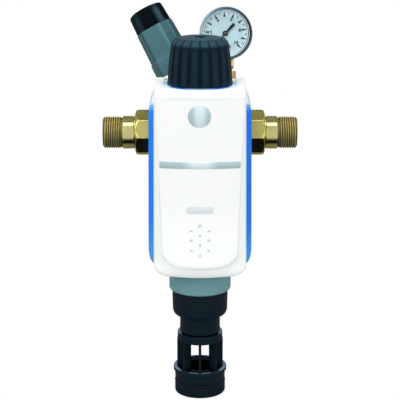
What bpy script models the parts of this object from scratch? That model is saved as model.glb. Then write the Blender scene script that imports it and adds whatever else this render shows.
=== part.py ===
"""Self cleaning water filter for a pipe run, as separate pieces.

Metres, +Z up, +X along the pipe run, -Y towards the front cover.
The origin is the middle of the pipe run's axis.
"""

import math

import bmesh
import bpy
from mathutils import Matrix, Vector

MM = 0.001

# driving dimensions, in millimetres
GAP = 0.3  # between pieces that touch
FILTER_Y = -45.0  # the filter's own axis, in front of the pipe axis
PIPE_END_X = 100.0  # half of the length from pipe to pipe
THREAD_R = 16.6  # R 1 thread
THREAD_PITCH = 2.309
BORE_R = 12.8
NUT_AF = 44.5
NUT_IN_X, NUT_OUT_X = 47.0, 66.8
HEX_AF = 31.6
TUBE_R = 20.5
TUBE_BORE_R = 14.0

COVER_TOP = 59.2
COVER_BOTTOM = -129.5
COVER_BACK_Y = -9.0
COVER_RIM_Y = -74.0
COVER_WALL = 2.2
SLOT_R = 36.2
COLLAR_R = 35.7

HOUSING_TOP = 56.2
HOUSING_BOTTOM = -124.6
HOUSING_WALL = 2.2
NOTCH_R = 25.6

KNOB_Z = 59.9
KNOB_R = 32.5
KNOB_SHOULDER_Z, KNOB_SHOULDER_R = 99.4, 28.6
KNOB_TOP = 105.8
KNOB_RIBS = 18

LABEL_R = 31.6
DRAIN_R = 28.6
NOZZLE_R = 20.7
CAGE_R = 23.8
CAGE_FINS = 8
FLANGE_R = 27.6
SPIGOT_R = 26.2
BOTTOM_Z = -266.5

REDUCER_BASE = Vector((-24.6, 12.0, 64.3))
REDUCER_AXIS = Vector((-0.478, 0.204, 0.867)).normalized()
REDUCER_TWIST = 8.0  # degrees the nearest flat is turned to the left
BONNET_LEN = 48.3
CAP_TOP = 69.6

GAUGE_CENTRE = Vector((26.65, 10.0, 101.35))
GAUGE_UP = 11.0  # degrees the dial faces upwards
GAUGE_LEFT = 5.0  # degrees the dial faces to the left
GAUGE_R = 26.95
DIAL_LEFT = 0.8  # the dial's centre to the left of its ring's
DIAL_TURN = 4.5  # degrees the dial is turned in its case
STEM_BACK = -11.0  # the stem's axis behind the dial's front
STEM_RIGHT = 0.35
POINTER_ANGLE = 47.6  # degrees from the right, anticlockwise

BRASS = ((0.50, 0.45, 0.20), 0.30, 1.0)
DARK = ((0.010, 0.020, 0.030), 0.42, 0.0)
GREY = ((0.080, 0.180, 0.215), 0.45, 0.0)
BLUE = ((0.030, 0.260, 0.860), 0.35, 0.0)
WHITE = ((0.93, 0.94, 0.93), 0.35, 0.0)
SILVER = ((0.50, 0.60, 0.62), 0.30, 0.8)
STEEL = ((0.60, 0.60, 0.60), 0.30, 1.0)
RUBBER = ((0.015, 0.015, 0.016), 0.75, 0.0)
TEAL = ((0.100, 0.150, 0.175), 0.45, 0.0)
CLEAR = ((0.55, 0.62, 0.66), 0.20, 0.0)
GLASS = ((0.90, 0.95, 0.96), 0.05, 0.0)
DIALFACE = ((0.46, 0.67, 0.71), 0.50, 0.0)


for old in list(bpy.data.objects):
    bpy.data.objects.remove(old, do_unlink=True)

CUT = set()  # names of the pieces that have been cut or united


def material(name, spec):
    mat = bpy.data.materials.new(name)
    mat.use_nodes = True
    shader = mat.node_tree.nodes["Principled BSDF"]
    colour, rough, metal = spec
    shader.inputs["Base Color"].default_value = (*colour, 1.0)
    shader.inputs["Roughness"].default_value = rough
    shader.inputs["Metallic"].default_value = metal
    mat.diffuse_color = (*colour, 1.0)
    return mat


def obj_from(bm, name, spec, frame=None):
    """An object from a bmesh, placed by its frame, both still in millimetres."""
    bmesh.ops.recalc_face_normals(bm, faces=bm.faces)
    mesh = bpy.data.meshes.new(name)
    bm.to_mesh(mesh)
    bm.free()
    ob = bpy.data.objects.new(name, mesh)
    bpy.context.scene.collection.objects.link(ob)
    if frame is not None:
        ob.matrix_world = frame
    if spec is not None:
        mesh.materials.append(material(name, spec))
    return ob


def lathe(profile, n, phase=0.0):
    """Turn a profile of (radius or function of the angle, height).

    A closed loop, or an open line whose two ends lie on the axis.
    """
    bm = bmesh.new()
    rings = []
    for r, z in profile:
        if not callable(r) and r == 0.0:
            rings.append([bm.verts.new((0.0, 0.0, z))])
            continue
        ring = []
        for i in range(n):
            t = math.tau * i / n + math.radians(phase)
            rr = r(t) if callable(r) else r
            ring.append(bm.verts.new((rr * math.cos(t), rr * math.sin(t), z)))
        rings.append(ring)
    closed = len(rings[0]) > 1
    pairs = list(zip(rings, rings[1:] + rings[:1])) if closed else list(zip(rings, rings[1:]))
    for a, b in pairs:
        for i in range(n):
            j = (i + 1) % n
            if len(a) == 1:
                bm.faces.new((a[0], b[i], b[j]))
            elif len(b) == 1:
                bm.faces.new((a[i], a[j], b[0]))
            else:
                bm.faces.new((a[i], a[j], b[j], b[i]))
    return bm


def box_bm(lo, hi):
    bm = bmesh.new()
    bmesh.ops.create_cube(bm, size=1.0)
    for v in bm.verts:
        for k in range(3):
            v.co[k] = lo[k] if v.co[k] < 0 else hi[k]
    return bm


def prism(points, lo, hi):
    """A polygon in XY raised from lo to hi."""
    bm = bmesh.new()
    low = [bm.verts.new((x, y, lo)) for x, y in points]
    top = [bm.verts.new((x, y, hi)) for x, y in points]
    bm.faces.new(low[::-1])
    bm.faces.new(top)
    for i in range(len(points)):
        j = (i + 1) % len(points)
        bm.faces.new((low[i], low[j], top[j], top[i]))
    return bm


def sweep(points, radius, sides):
    """A round bar along a line of points, with closed ends."""
    bm = bmesh.new()
    rings = []
    normal = None
    for i, p in enumerate(points):
        a = points[max(i - 1, 0)]
        b = points[min(i + 1, len(points) - 1)]
        d = (b - a).normalized()
        if normal is None:
            normal = d.orthogonal().normalized()
        normal = (normal - d * normal.dot(d)).normalized()
        side = d.cross(normal)
        rings.append([
            bm.verts.new(p + radius * (math.cos(math.tau * k / sides) * normal + math.sin(math.tau * k / sides) * side))
            for k in range(sides)
        ])
    for a, b in zip(rings, rings[1:]):
        for k in range(sides):
            m = (k + 1) % sides
            bm.faces.new((a[k], a[m], b[m], b[k]))
    bm.faces.new(rings[0][::-1])
    bm.faces.new(rings[-1])
    return bm


def flats(count, af, clip=None, corner=0.0):
    """Radius of a nut-like outline with its first flat facing angle 0."""
    ap = af / 2.0
    half = math.pi / count

    def radius(t):
        phi = abs((t + half) % (2 * half) - half)
        r = ap / math.cos(phi)
        if corner:
            dc = (ap - corner) / math.cos(half)
            if phi > math.atan((ap - corner) * math.tan(half) / ap):
                d = half - phi
                r = dc * math.cos(d) + math.sqrt(max(corner**2 - (dc * math.sin(d)) ** 2, 0.0))
        return min(r, clip) if clip else r

    return radius


def join(*parts):
    """Several bmeshes that do not meet, as one."""
    out = parts[0]
    for other in parts[1:]:
        mesh = bpy.data.meshes.new("join")
        other.to_mesh(mesh)
        other.free()
        out.from_mesh(mesh)
        bpy.data.meshes.remove(mesh)
    return out


def moved(bm, frame):
    bmesh.ops.transform(bm, matrix=frame, verts=bm.verts)
    return bm


def shape(ob, op, bm, frame=None):
    """Unite with, or cut away, another solid; both in the object's own frame."""
    CUT.add(ob.name)
    bmesh.ops.triangulate(bm, faces=bm.faces)
    tool = obj_from(bm, "tool", None, None)
    base = bmesh.new()
    base.from_mesh(ob.data)
    bmesh.ops.triangulate(base, faces=base.faces)
    base.to_mesh(ob.data)
    base.free()
    local = frame if frame is not None else Matrix.Identity(4)
    tool.matrix_world = ob.matrix_world @ local
    bpy.context.view_layer.update()
    mod = ob.modifiers.new("bool", "BOOLEAN")
    mod.operation = op
    mod.solver = "EXACT"
    mod.object = tool
    graph = bpy.context.evaluated_depsgraph_get()
    result = bpy.data.meshes.new_from_object(ob.evaluated_get(graph))
    old = ob.data
    ob.modifiers.clear()
    ob.data = result
    result.name = old.name
    tool_mesh = tool.data
    bpy.data.objects.remove(tool, do_unlink=True)
    bpy.data.meshes.remove(old)
    bpy.data.meshes.remove(tool_mesh)
    return ob


def tidy(ob):
    """Merge what cutting left on flat faces."""
    clean = bmesh.new()
    clean.from_mesh(ob.data)
    bmesh.ops.remove_doubles(clean, verts=clean.verts, dist=0.0003)
    bmesh.ops.dissolve_degenerate(clean, dist=0.0005, edges=clean.edges)
    # a face with no width joins the face across its longest edge
    flat = set()
    for f in clean.faces:
        longest = max(f.edges, key=lambda e: e.calc_length())
        if f.calc_area() < 0.002 * longest.calc_length():
            flat.add(longest)
    bmesh.ops.dissolve_edges(clean, edges=list(flat), use_verts=False)
    bmesh.ops.dissolve_limit(clean, angle_limit=math.radians(0.05), verts=[], edges=clean.edges)
    straight = []
    for v in clean.verts:
        if len(v.link_edges) == 2:
            ends = [e.other_vert(v) for e in v.link_edges]
            if any(e.other_vert(ends[0]) is ends[1] for e in ends[0].link_edges):
                continue
            one, two = (end.co - v.co for end in ends)
            if one.length > 0 and two.length > 0 and one.angle(two) > math.pi - 0.002:
                straight.append(v)
    bmesh.ops.dissolve_verts(clean, verts=straight)
    clean.to_mesh(ob.data)
    clean.free()


def cut(ob, bm, frame=None):
    return shape(ob, "DIFFERENCE", bm, frame)


def add(ob, bm, frame=None):
    return shape(ob, "UNION", bm, frame)


def cyl(r, lo, hi, n=24, phase=3.1):
    return lathe([(0.0, lo), (r, lo), (r, hi), (0.0, hi)], n, phase)


def axis_frame(origin, z, x=None):
    z = Vector(z).normalized()
    x = Vector(x) if x is not None else z.orthogonal()
    x = (x - z * x.dot(z)).normalized()
    y = z.cross(x)
    m = Matrix((x, y, z)).transposed().to_4x4()
    m.translation = Vector(origin)
    return m


FILTER = Matrix.Translation(Vector((0.0, FILTER_Y, 0.0)))
# along the pipe: local z = +X, local x = +Z
ALONG_X = axis_frame((0, 0, 0), (1, 0, 0), (0, 0, 1))
# towards the front: local z = -Y, local x = +X
FRONT = axis_frame((0, 0, 0), (0, -1, 0), (1, 0, 0))

a = REDUCER_AXIS
near = Vector((0.0, -1.0, 0.0))
near = (near - a * near.dot(a)).normalized()
near = Matrix.Rotation(math.radians(-REDUCER_TWIST), 3, a) @ near
REDUCER = axis_frame(REDUCER_BASE, a, near)

gu, gl = math.radians(GAUGE_UP), math.radians(GAUGE_LEFT)
face = Vector((-math.sin(gl) * math.cos(gu), -math.cos(gl) * math.cos(gu), math.sin(gu)))
upward = (Vector((0, 0, 1)) - face * face.z).normalized()
right = upward.cross(face)
GAUGE = axis_frame(GAUGE_CENTRE, face, right)
STEM = axis_frame((STEM_RIGHT, 0, STEM_BACK), (0, 1, 0), (1, 0, 0))  # in the gauge's frame

# ---------------------------------------------------------------- pipe run


def ring_profile(r_out, r_in, lo, hi):
    return [(r_in, lo), (r_out, lo), (r_out, hi), (r_in, hi)]


def connection_body():
    r = TUBE_R
    ob = obj_from(
        lathe([(0, -58), (18.9, -58), (19.7, -57), (19.7, -46), (r, -45), (r, 45), (19.7, 46), (19.7, 57), (18.9, 58), (0, 58)], 28, 4.3),
        "connection_body", BRASS, ALONG_X,
    )
    inv = ob.matrix_world.inverted()
    inv.translation = Vector((0, 0, 0))

    def here(frame):
        return inv @ frame

    # neck and plate towards the filter head
    add(ob, cyl(17.0, 2.0, 24.0, 20), here(FRONT))
    add(ob, box_bm((-38, -30, -22), (38, -22, 30)), here(Matrix.Identity(4)))
    # reducer boss
    add(ob, cyl(15.0, -50.0, -16.3, 20), here(REDUCER))
    # gauge boss, a round post with a hexagon on top
    post = [(0, -86), (8.2, -86), (8.2, -52), (flats(6, 19.0, 10.6), -51.0), (flats(6, 19.0, 10.6), -38.9), (flats(6, 19.0, 9.9), -38.2), (0, -38.2)]
    add(ob, lathe([(rr, z) for rr, z in post], 24), here(GAUGE @ STEM))
    # bores
    cut(ob, cyl(TUBE_BORE_R, -60.0, -5.0, 22), here(ALONG_X))
    cut(ob, cyl(TUBE_BORE_R, 5.0, 60.0, 22), here(ALONG_X))
    for sx in (-1, 1):
        cut(ob, cyl(6.5, 2.0, 32.0, 12), here(Matrix.Translation(Vector((sx * 15.0, 0, 4.0))) @ FRONT))
    cut(ob, cyl(10.7, -50.0, -14.0, 20), here(REDUCER))
    cut(ob, cyl(6.4, -52.0, -37.0, 16), here(GAUGE @ STEM))
    cut(ob, cyl(2.2, -92.0, -51.0, 12), here(GAUGE @ STEM))
    for sx in (-1, 1):
        for z in (-14.0, 22.0):
            cut(ob, cyl(3.4, 20.0, 32.0, 8), here(Matrix.Translation(Vector((sx * 31.0, 0, z))) @ FRONT))
    return ob


connection_body()


def mirrored(frame_sign):
    """A frame whose local z runs outwards along the pipe, to the left or right."""
    return axis_frame((0, 0, 0), (frame_sign, 0, 0), (0, 0, 1))


def union_nut(name, sign):
    # the flat nearest the viewer is turned up by 19.8 degrees
    frame = axis_frame((0, 0, 0), (sign, 0, 0), (0, -math.cos(math.radians(19.8)), math.sin(math.radians(19.8))))
    o = flats(8, NUT_AF)
    prof = [
        (20.25, NUT_IN_X), (flats(8, NUT_AF, 23.2), NUT_IN_X), (o, NUT_IN_X + 0.9), (o, NUT_OUT_X - 3.2),
        (flats(8, NUT_AF, 22.6), NUT_OUT_X - 1.8), (20.6, NUT_OUT_X - 0.5), (18.6, NUT_OUT_X), (17.1, NUT_OUT_X), (17.1, 63.9), (20.25, 63.9),
    ]
    return obj_from(lathe(prof, 32), name, BRASS, frame)


def tailpiece(name, sign):
    frame = axis_frame((0, 0, 0), (sign, 0, 0), (0, -math.cos(math.radians(8.0)), math.sin(math.radians(8.0))))
    h = flats(6, HEX_AF, 16.9)
    prof = [(BORE_R, 60.9), (19.6, 60.9), (19.6, 63.6), (16.7, 63.6), (16.7, 67.3), (15.4, 67.4), (h, 68.2), (h, 79.2), (15.3, 80.0), (15.0, 80.2)]
    x = 80.6
    crest, root = THREAD_R, THREAD_R - 1.25
    prof.append((root, x))
    while x + THREAD_PITCH < PIPE_END_X - 1.2:
        prof.append((crest, x + THREAD_PITCH * 0.5))
        prof.append((root, x + THREAD_PITCH))
        x += THREAD_PITCH
    prof += [(root - 0.9, PIPE_END_X), (BORE_R, PIPE_END_X)]
    return obj_from(lathe(prof, 18), name, BRASS, frame)


for word, sign in (("inlet", -1), ("outlet", 1)):
    union_nut(f"{word}_union_nut", sign)
    tailpiece(f"{word}_tailpiece", sign)
    obj_from(lathe(ring_profile(18.8, 14.2, 58.3, 60.6), 24), f"{word}_gasket", RUBBER, mirrored(sign))

# ------------------------------------------------------------- filter head

seal = obj_from(box_bm((-34, -31.2, -20), (34, -30.3, 28)), "flange_seal", RUBBER, None)
for sx in (-1, 1):
    cut(seal, cyl(7.2, 25.0, 35.0, 12), Matrix.Translation(Vector((sx * 15.0, 0, 4.0))) @ FRONT)
    for z in (-14.0, 22.0):
        cut(seal, cyl(3.8, 25.0, 35.0, 8), Matrix.Translation(Vector((sx * 31.0, 0, z))) @ FRONT)

head = obj_from(
    lathe([
        (0, 57.0), (15.5, 57.0), (15.5, 31.5), (17.5, 30.0), (24.0, 30.0), (24.0, -24.5), (37.0, -26.0), (39.4, -28.0), (39.4, -50.0),
        (35.4, -50.0), (35.4, -30.5), (26.8, -30.5), (26.8, -45.0), (22.5, -45.0), (22.5, -24.0), (11.0, -24.0), (11.0, -12.0), (0, -12.0),
    ], 32),
    "filter_head", DARK, FILTER,
)
back = FILTER.inverted()
add(head, box_bm((-38, -39.5, -22), (38, -31.5, 30)), back)
cut(head, box_bm((-60, -31.5, -23.0), (60, 20, 60)), back)
cut(head, cyl(5.6, -20.0, 60.0, 24))
cut(head, cyl(9.2, 49.5, 60.0, 24))
# raw water to the outside of the screen, clean water from its inside
cut(head, cyl(5.0, -3.0, 46.0, 10), back @ axis_frame((-15.0, -30.0, 4.0), Vector((-14.0, -2.0, -35.0)), (1, 0, 0)))
cut(head, cyl(6.5, 28.0, 38.0, 10), back @ Matrix.Translation(Vector((-15.0, 0, 4.0))) @ FRONT)
cut(head, cyl(5.0, -3.0, 34.0, 10), back @ axis_frame((15.0, -30.0, 4.0), Vector((-7.0, -9.0, -30.0)), (1, 0, 0)))
cut(head, cyl(6.5, 28.0, 38.0, 10), back @ Matrix.Translation(Vector((15.0, 0, 4.0))) @ FRONT)
for sx in (-1, 1):
    for z in (-14.0, 22.0):
        cut(head, cyl(3.4, 25.0, 45.0, 8), back @ Matrix.Translation(Vector((sx * 31.0, 0, z))) @ FRONT)

count = 0
for sx in (-1, 1):
    for z in (-14.0, 22.0):
        count += 1
        prof = [(0, 22.5), (2.95, 22.5), (2.95, 39.8), (5.0, 39.8), (5.0, 45.0), (0, 45.0)]
        obj_from(lathe(prof, 12), f"head_screw_{count}", STEEL, Matrix.Translation(Vector((sx * 31.0, 0, z))) @ FRONT)

# --------------------------------------------------------------- cover


def cover_half(z):
    return 45.2 - 0.0081 * z


def outline(top, bottom, half, rt, rb, nt=3, nb=5, inset=0.0):
    """Closed outline in XZ, from the top middle to the right and round; the same count of points for every inset."""
    pts = []
    # top edge
    for k in range(4):
        pts.append(((half(top) - rt) * k / 3.0, top - inset))
    cx, cz = half(top) - rt, top - rt
    for k in range(1, nt + 1):
        t = math.pi / 2 * (1 - k / nt)
        r = max(rt - inset, 0.2)
        d = inset if rt <= inset else 0.0
        pts.append((cx + r * math.cos(t) - (inset - rt + 0.2 if d else 0), cz + r * math.sin(t) - (inset - rt + 0.2 if d else 0)))
    n = 6
    z0, z1 = top - rt, bottom + rb[1]
    for k in range(1, n):
        z = z0 + (z1 - z0) * k / n
        pts.append((half(z) - inset, z))
    # bottom corner, an ellipse
    cx, cz = half(bottom) - rb[0], bottom + rb[1]
    for k in range(0, nb + 1):
        t = -math.pi / 2 * k / nb
        pts.append((cx + (rb[0] - inset) * math.cos(t), cz + (rb[1] - inset) * math.sin(t)))
    # bottom edge sags slightly
    sag = 1.6
    for k in range(1, 4):
        f = 1 - k / 3.0
        pts.append((cx * f, bottom + inset - sag * (1 - f * f) + 0.0))
    left = [(-x, z) for x, z in reversed(pts[1:-1])]
    return pts + left


def cover_outline(inset):
    return outline(COVER_TOP, COVER_BOTTOM + 1.6, cover_half, 2.4, (16.0, 13.0), inset=inset)


def bulge(x, depth):
    return depth * (1.0 - min(abs(x) / 38.0, 1.0) ** 2)


def cover_rim_y(z):
    """The side walls end at one depth; the flat top runs further back."""
    return COVER_BACK_Y if z > COVER_TOP - 2.35 else COVER_RIM_Y


def front_cover():
    bm = bmesh.new()

    def ring(inset, yfun, shift=0.0):
        return [bm.verts.new((x, yfun(x, z), z)) for x, z in cover_outline(inset)]

    w = COVER_WALL
    rings = [
        ring(0.0, lambda x, z: cover_rim_y(z)),
        ring(0.0, lambda x, z: -88.0),
        ring(1.2, lambda x, z: -90.4),
        ring(3.6, lambda x, z: -91.3 - bulge(x, 1.0)),
        ring(8.2, lambda x, z: -91.9 - bulge(x, 2.6)),
        ring(10.4, lambda x, z: -93.4 - bulge(x, 4.6)),
    ]

    def shrink(f, y0, depth, inset):
        base = cover_outline(inset)
        zc = (COVER_TOP + COVER_BOTTOM) / 2.0
        return [bm.verts.new((x * f, y0 - bulge(x * f, depth), zc + (z - zc) * (0.25 + 0.75 * f))) for x, z in base]

    outer = rings + [shrink(0.66, -93.4, 4.6, 10.4), shrink(0.33, -93.4, 4.6, 10.4)]
    inner = [
        ring(w, lambda x, z: cover_rim_y(z)),
        ring(w, lambda x, z: -88.0),
        ring(10.4, lambda x, z: -90.9 - bulge(x, 4.6)),
    ]
    n = len(outer[0])
    order = outer[::-1] + inner
    for p, q in zip(order, order[1:]):
        for i in range(n):
            j = (i + 1) % n
            bm.faces.new((p[i], p[j], q[j], q[i]))
    for r, y in ((outer[-1], -93.4 - 4.6), (inner[-1], -90.9 - 4.6)):
        mid = bm.verts.new((0.0, y, (COVER_TOP + COVER_BOTTOM) / 2.0))
        for i in range(n):
            bm.faces.new((r[i], r[(i + 1) % n], mid))
    ob = obj_from(bm, "front_cover", WHITE, None)
    slot = [(SLOT_R * math.cos(math.radians(t)), FILTER_Y + SLOT_R * math.sin(math.radians(t))) for t in [180 + 7.2 * k for k in range(26)]]
    slot += [(SLOT_R, 5.0), (-SLOT_R, 5.0)]
    cut(ob, prism(slot, 40.0, 70.0))
    # room for the ring below
    cut(ob, cyl(LABEL_R + 1.4, -140.0, -120.0, 40), FILTER)
    # blind seats of the trim strip, the badge and the small plate
    cut(ob, panel_bm(strip_pts(-39.9, 39.9, -15.6, -8.8, 12), 4.0, -1.35))
    cut(ob, panel_bm(disc_pts(-0.5, 36.6, 11.6, 14), 4.0, -1.35))
    cut(ob, panel_bm(strip_pts(-13.4, 13.4, -60.9, -52.5, 4), 4.0, -1.35))
    for x, z in dimple_places():
        y = -93.4 - bulge(x, 4.6)
        cut(ob, lathe([(0, -y - 0.8), (1.2, -y - 0.8), (2.1, -y + 0.6), (0, -y + 0.6)], 8, 11.0), Matrix.Translation(Vector((x, 0, z))) @ FRONT)
    return ob


def dimple_places():
    out = [(0.0, z) for z in (-73.5, -83.7, -93.8, -104.4)]
    for z in (-78.6, -88.8, -99.1):
        out += [(-8.7, z), (8.7, z)]
    return out


def panel_bm(outline_pts, rise, back):
    """A strip following the cover's bulge, from a height above its face to one below: points in XZ."""
    bm = bmesh.new()
    front = [bm.verts.new((x, -93.4 - bulge(x, 4.6) - rise, z)) for x, z in outline_pts]
    rear = [bm.verts.new((x, -93.4 - bulge(x, 4.6) - back, z)) for x, z in outline_pts]
    n = len(outline_pts)
    for i in range(n):
        j = (i + 1) % n
        bm.faces.new((front[i], front[j], rear[j], rear[i]))
    m = n // 2
    for r in (front, rear):
        for i in range(m - 1):
            bm.faces.new((r[i], r[i + 1], r[n - 2 - i], r[n - 1 - i]))
    return bm


def strip_pts(x0, x1, z0, z1, n):
    top = [(x0 + (x1 - x0) * k / n, z1) for k in range(n + 1)]
    low = [(x, z0) for x, _ in reversed(top)]
    return top + low


def disc_pts(cx, cz, r, n):
    half = [(cx - r * math.cos(math.pi * (k + 0.5) / n), cz + r * math.sin(math.pi * (k + 0.5) / n)) for k in range(n)]
    low = [(x, 2 * cz - z) for x, z in reversed(half)]
    return half + low


front_cover()
obj_from(panel_bm(strip_pts(-39.6, 39.6, -15.3, -9.1, 12), 0.25, -1.0), "trim_strip", SILVER, None)
obj_from(panel_bm(strip_pts(-13.1, 13.1, -60.6, -52.8, 4), 0.05, -1.0), "name_plate", WHITE, None)
obj_from(panel_bm(disc_pts(-0.5, 36.6, 11.3, 14), 0.1, -1.0), "cover_badge", SILVER, None)

# ------------------------------------------------------------- housing


def housing_half(z):
    return 51.2 - 0.0085 * z


def housing_outline(inset, top=HOUSING_TOP):
    """Closed outline in XZ of the blue housing."""
    # each point with the direction in which a smaller outline moves it
    shoulder = [(40.0, 0.0, 0.35, 1.0), (43.4, 0.8, 0.60, 0.97), (45.3, 4.8, 0.71, 0.70), (47.2, 10.4, 0.82, 0.30), (49.2, 15.2, 0.94, 0.10), (50.8, 23.4, 1.0, 0.05)]
    pts = [(0.0, top - inset), (13.0, top - inset), (26.0, top - inset)]
    for x, dz, dx, down in shoulder:
        pts.append((x - inset * dx, top - dz - inset * down))
    for z in (8.0, -20.0, -50.0, -80.0, -104.0):
        pts.append((housing_half(z) - inset, z))
    low = HOUSING_BOTTOM
    for x, z in ((51.9, low + 15.0), (50.8, low + 8.4), (49.4, low + 5.2), (46.9, low + 2.0), (42.0, low + 0.4)):
        pts.append((x - inset * (1.0 if z > low + 4 else 0.7 if z > low + 1 else 0.3), z + inset * (0.1 if z > low + 10 else 0.4 if z > low + 6 else 0.8)))
    pts += [(32.0, low + inset), (16.0, low + inset), (0.0, low + inset)]
    left = [(-x, z) for x, z in reversed(pts[1:-1])]
    return pts + left


def frame_shell(name, spec, sections):
    """A tube of outlines: (inset, y) outer first, then inner back to the start."""
    bm = bmesh.new()
    rings = [[bm.verts.new((x, y, z)) for x, z in pts] for pts, y in sections]
    n = len(rings[0])
    for p, q in zip(rings, rings[1:] + rings[:1]):
        for i in range(n):
            j = (i + 1) % n
            bm.faces.new((p[i], p[j], q[j], q[i]))
    return obj_from(bm, name, spec, None)


w = HOUSING_WALL
housing = frame_shell("side_housing", BLUE, [
    (housing_outline(0.0), 1.0), (housing_outline(0.0), -62.0), (housing_outline(5.8), -73.4), (housing_outline(8.7), -73.6), (housing_outline(8.7), -78.0),
    (housing_outline(8.7 + w), -78.0), (housing_outline(8.7 + w), -71.8), (housing_outline(w), -60.5), (housing_outline(w), 1.0),
])
for sx in (-1, 1):
    cut(housing, cyl(NOTCH_R, 40.0, 60.0, 32), mirrored(sx))
cut(housing, cyl(16.4, 45.0, 60.0, 32), FILTER)
cut(housing, cyl(32.7, -130.0, -110.0, 36), FILTER)
cut(housing, cyl(15.8, -50.0, 10.0, 24), REDUCER)
stem_axis = GAUGE @ STEM
cut(housing, cyl(11.0, -80.0, -30.0, 24), stem_axis)
add(housing, lathe([(32.4, 54.6), (COLLAR_R, 54.6), (COLLAR_R, 59.2), (COLLAR_R - 0.4, 59.6), (32.4, 59.6)], 48), FILTER)


def rear_outline(inset):
    """As the housing's outline, with a lower top."""
    pts = []
    for x, z in housing_outline(inset):
        pts.append((x, min(z, 47.0 - inset)))
    return pts


def rear_cover():
    bm = bmesh.new()
    secs = [(rear_outline(0.3), 1.4), (rear_outline(0.3), 30.0), (rear_outline(1.6), 33.4), (rear_outline(4.4), 34.6)]
    ins = [(rear_outline(4.6 + w), 32.4), (rear_outline(0.3 + w), 29.4), (rear_outline(0.3 + w), 1.4)]
    rings = [[bm.verts.new((x, y, z)) for x, z in pts] for pts, y in secs]
    inner = [[bm.verts.new((x, y, z)) for x, z in pts] for pts, y in ins]
    seq = rings[::-1] + inner[::-1]
    n = len(rings[0])
    for p, q in zip(seq, seq[1:]):
        for i in range(n):
            j = (i + 1) % n
            bm.faces.new((p[i], p[j], q[j], q[i]))
    for r in (rings[-1], inner[0]):
        bm.faces.new(r)
    ob = obj_from(bm, "rear_cover", DARK, None)
    for sx in (-1, 1):
        cut(ob, cyl(NOTCH_R, 40.0, 60.0, 32), mirrored(sx))
    cut(ob, cyl(16.2, -40.0, 10.0, 24), REDUCER)
    cut(ob, cyl(11.0, -80.0, -30.0, 24), stem_axis)
    return ob


rear_cover()

# ------------------------------------------------------------- filter cup

obj_from(lathe([
    (31.0, -31.6), (34.9, -31.6), (34.9, -50.5), (31.8, -52.6), (31.4, -119.0), (27.6, -123.0), (27.6, -150.0),
    (24.2, -150.0), (24.2, -124.0), (28.4, -121.0), (28.6, -52.0), (31.0, -48.0),
], 32), "filter_cup", CLEAR, FILTER)
obj_from(lathe([(31.6, -31.2), (34.4, -31.2), (34.4, -30.8), (31.6, -30.8)], 24), "cup_seal", RUBBER, FILTER)

screen_ring = obj_from(lathe([
    (24.6, -46.0), (26.6, -46.0), (26.6, -120.4), (8.0, -120.4), (8.0, -118.0), (24.6, -118.0),
], 24), "screen_cage", GREY, FILTER)
windows = []
for row in ((-80.0, -50.0), (-114.0, -84.0)):
    for k in range(4):
        t = math.tau * (k + 0.5) / 4
        windows.append(moved(box_bm((18.0, -13.0, row[0]), (30.0, 13.0, row[1])), Matrix.Rotation(t, 4, "Z")))
cut(screen_ring, join(*windows))
obj_from(lathe(ring_profile(24.2, 23.8, -117.6, -46.0), 24), "screen_mesh", STEEL, FILTER)

label = obj_from(lathe([
    (28.0, -130.4), (LABEL_R - 0.4, -130.4), (LABEL_R, -131.0), (LABEL_R, -152.0), (LABEL_R - 1.3, -153.6), (28.0, -153.6),
], 36), "label_ring", TEAL, FILTER)

obj_from(lathe([
    (7.6, -139.0), (23.7, -139.0), (23.7, -150.4), (27.4, -150.4), (27.4, -154.0), (DRAIN_R, -154.0), (DRAIN_R - 0.4, -176.6), (DRAIN_R - 2.2, -180.6),
    (NOZZLE_R, -181.4), (NOZZLE_R, -199.9), (12.6, -199.9), (12.6, -206.5), (9.0, -206.5), (9.0, -152.0), (12.0, -148.0), (12.0, -142.0), (7.6, -142.0),
], 32), "drain_housing", DARK, FILTER)
obj_from(lathe([(7.5, -145.8), (11.6, -145.8), (11.6, -142.4), (7.5, -142.4)], 24), "drain_seal", RUBBER, FILTER)

cage = obj_from(lathe([
    (13.0, -200.3), (22.6, -200.3), (23.2, -201.0), (23.2, -208.0), (CAGE_R, -208.6), (CAGE_R, -238.2), (23.2, -238.3), (23.2, -242.0), (14.6, -242.0), (14.6, -208.0),
], 32), "air_gap_cage", DARK, FILTER)
gaps = []
for k in range(CAGE_FINS):
    mid = math.radians(-90.0 + 22.5 + 45.0 * k)
    half = math.radians(22.5)
    start = 1.0 / math.sin(half)
    p0 = Vector((math.cos(mid), math.sin(mid))) * start
    pts = [p0]
    for s in (-1, 1):
        d = Vector((math.cos(mid + s * half), math.sin(mid + s * half)))
        off = Vector((-d.y, d.x)) * (-s)
        pts.append(d * 30.0 + off)
    gaps.append(prism([(p.x, p.y) for p in pts], -239.2, -208.8))
cut(cage, join(*gaps))

obj_from(lathe([
    (CAGE_R - 0.1, -238.6), (FLANGE_R - 0.6, -238.6), (FLANGE_R, -239.1), (FLANGE_R, -242.4), (FLANGE_R - 0.9, -243.2), (26.0, -243.4), (26.0, -250.6), (25.5, -251.0), (25.5, -252.4),
    (22.0, -252.6), (22.0, -262.0), (19.6, -262.0), (19.6, -252.0), (CAGE_R - 0.1, -243.2),
], 32), "drain_funnel", DARK, FILTER)
obj_from(lathe([
    (23.1, -252.9), (26.0, -252.9), (26.4, -254.4), (26.0, -255.8), (SPIGOT_R, -256.6), (SPIGOT_R, -265.6), (25.3, BOTTOM_Z), (23.1, BOTTOM_Z),
], 32), "drain_sleeve", RUBBER, FILTER)
obj_from(lathe([(22.4, -259.6), (22.8, -259.6), (22.8, -257.6), (22.4, -257.6)], 24), "sleeve_seal", RUBBER, FILTER)

# ------------------------------------------------------------- knob and flush drive


def fluted(r, depth):
    def radius(t):
        u = (t * KNOB_RIBS / math.tau) % 1.0
        return r if u < 0.6 else r - depth

    return radius


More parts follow.
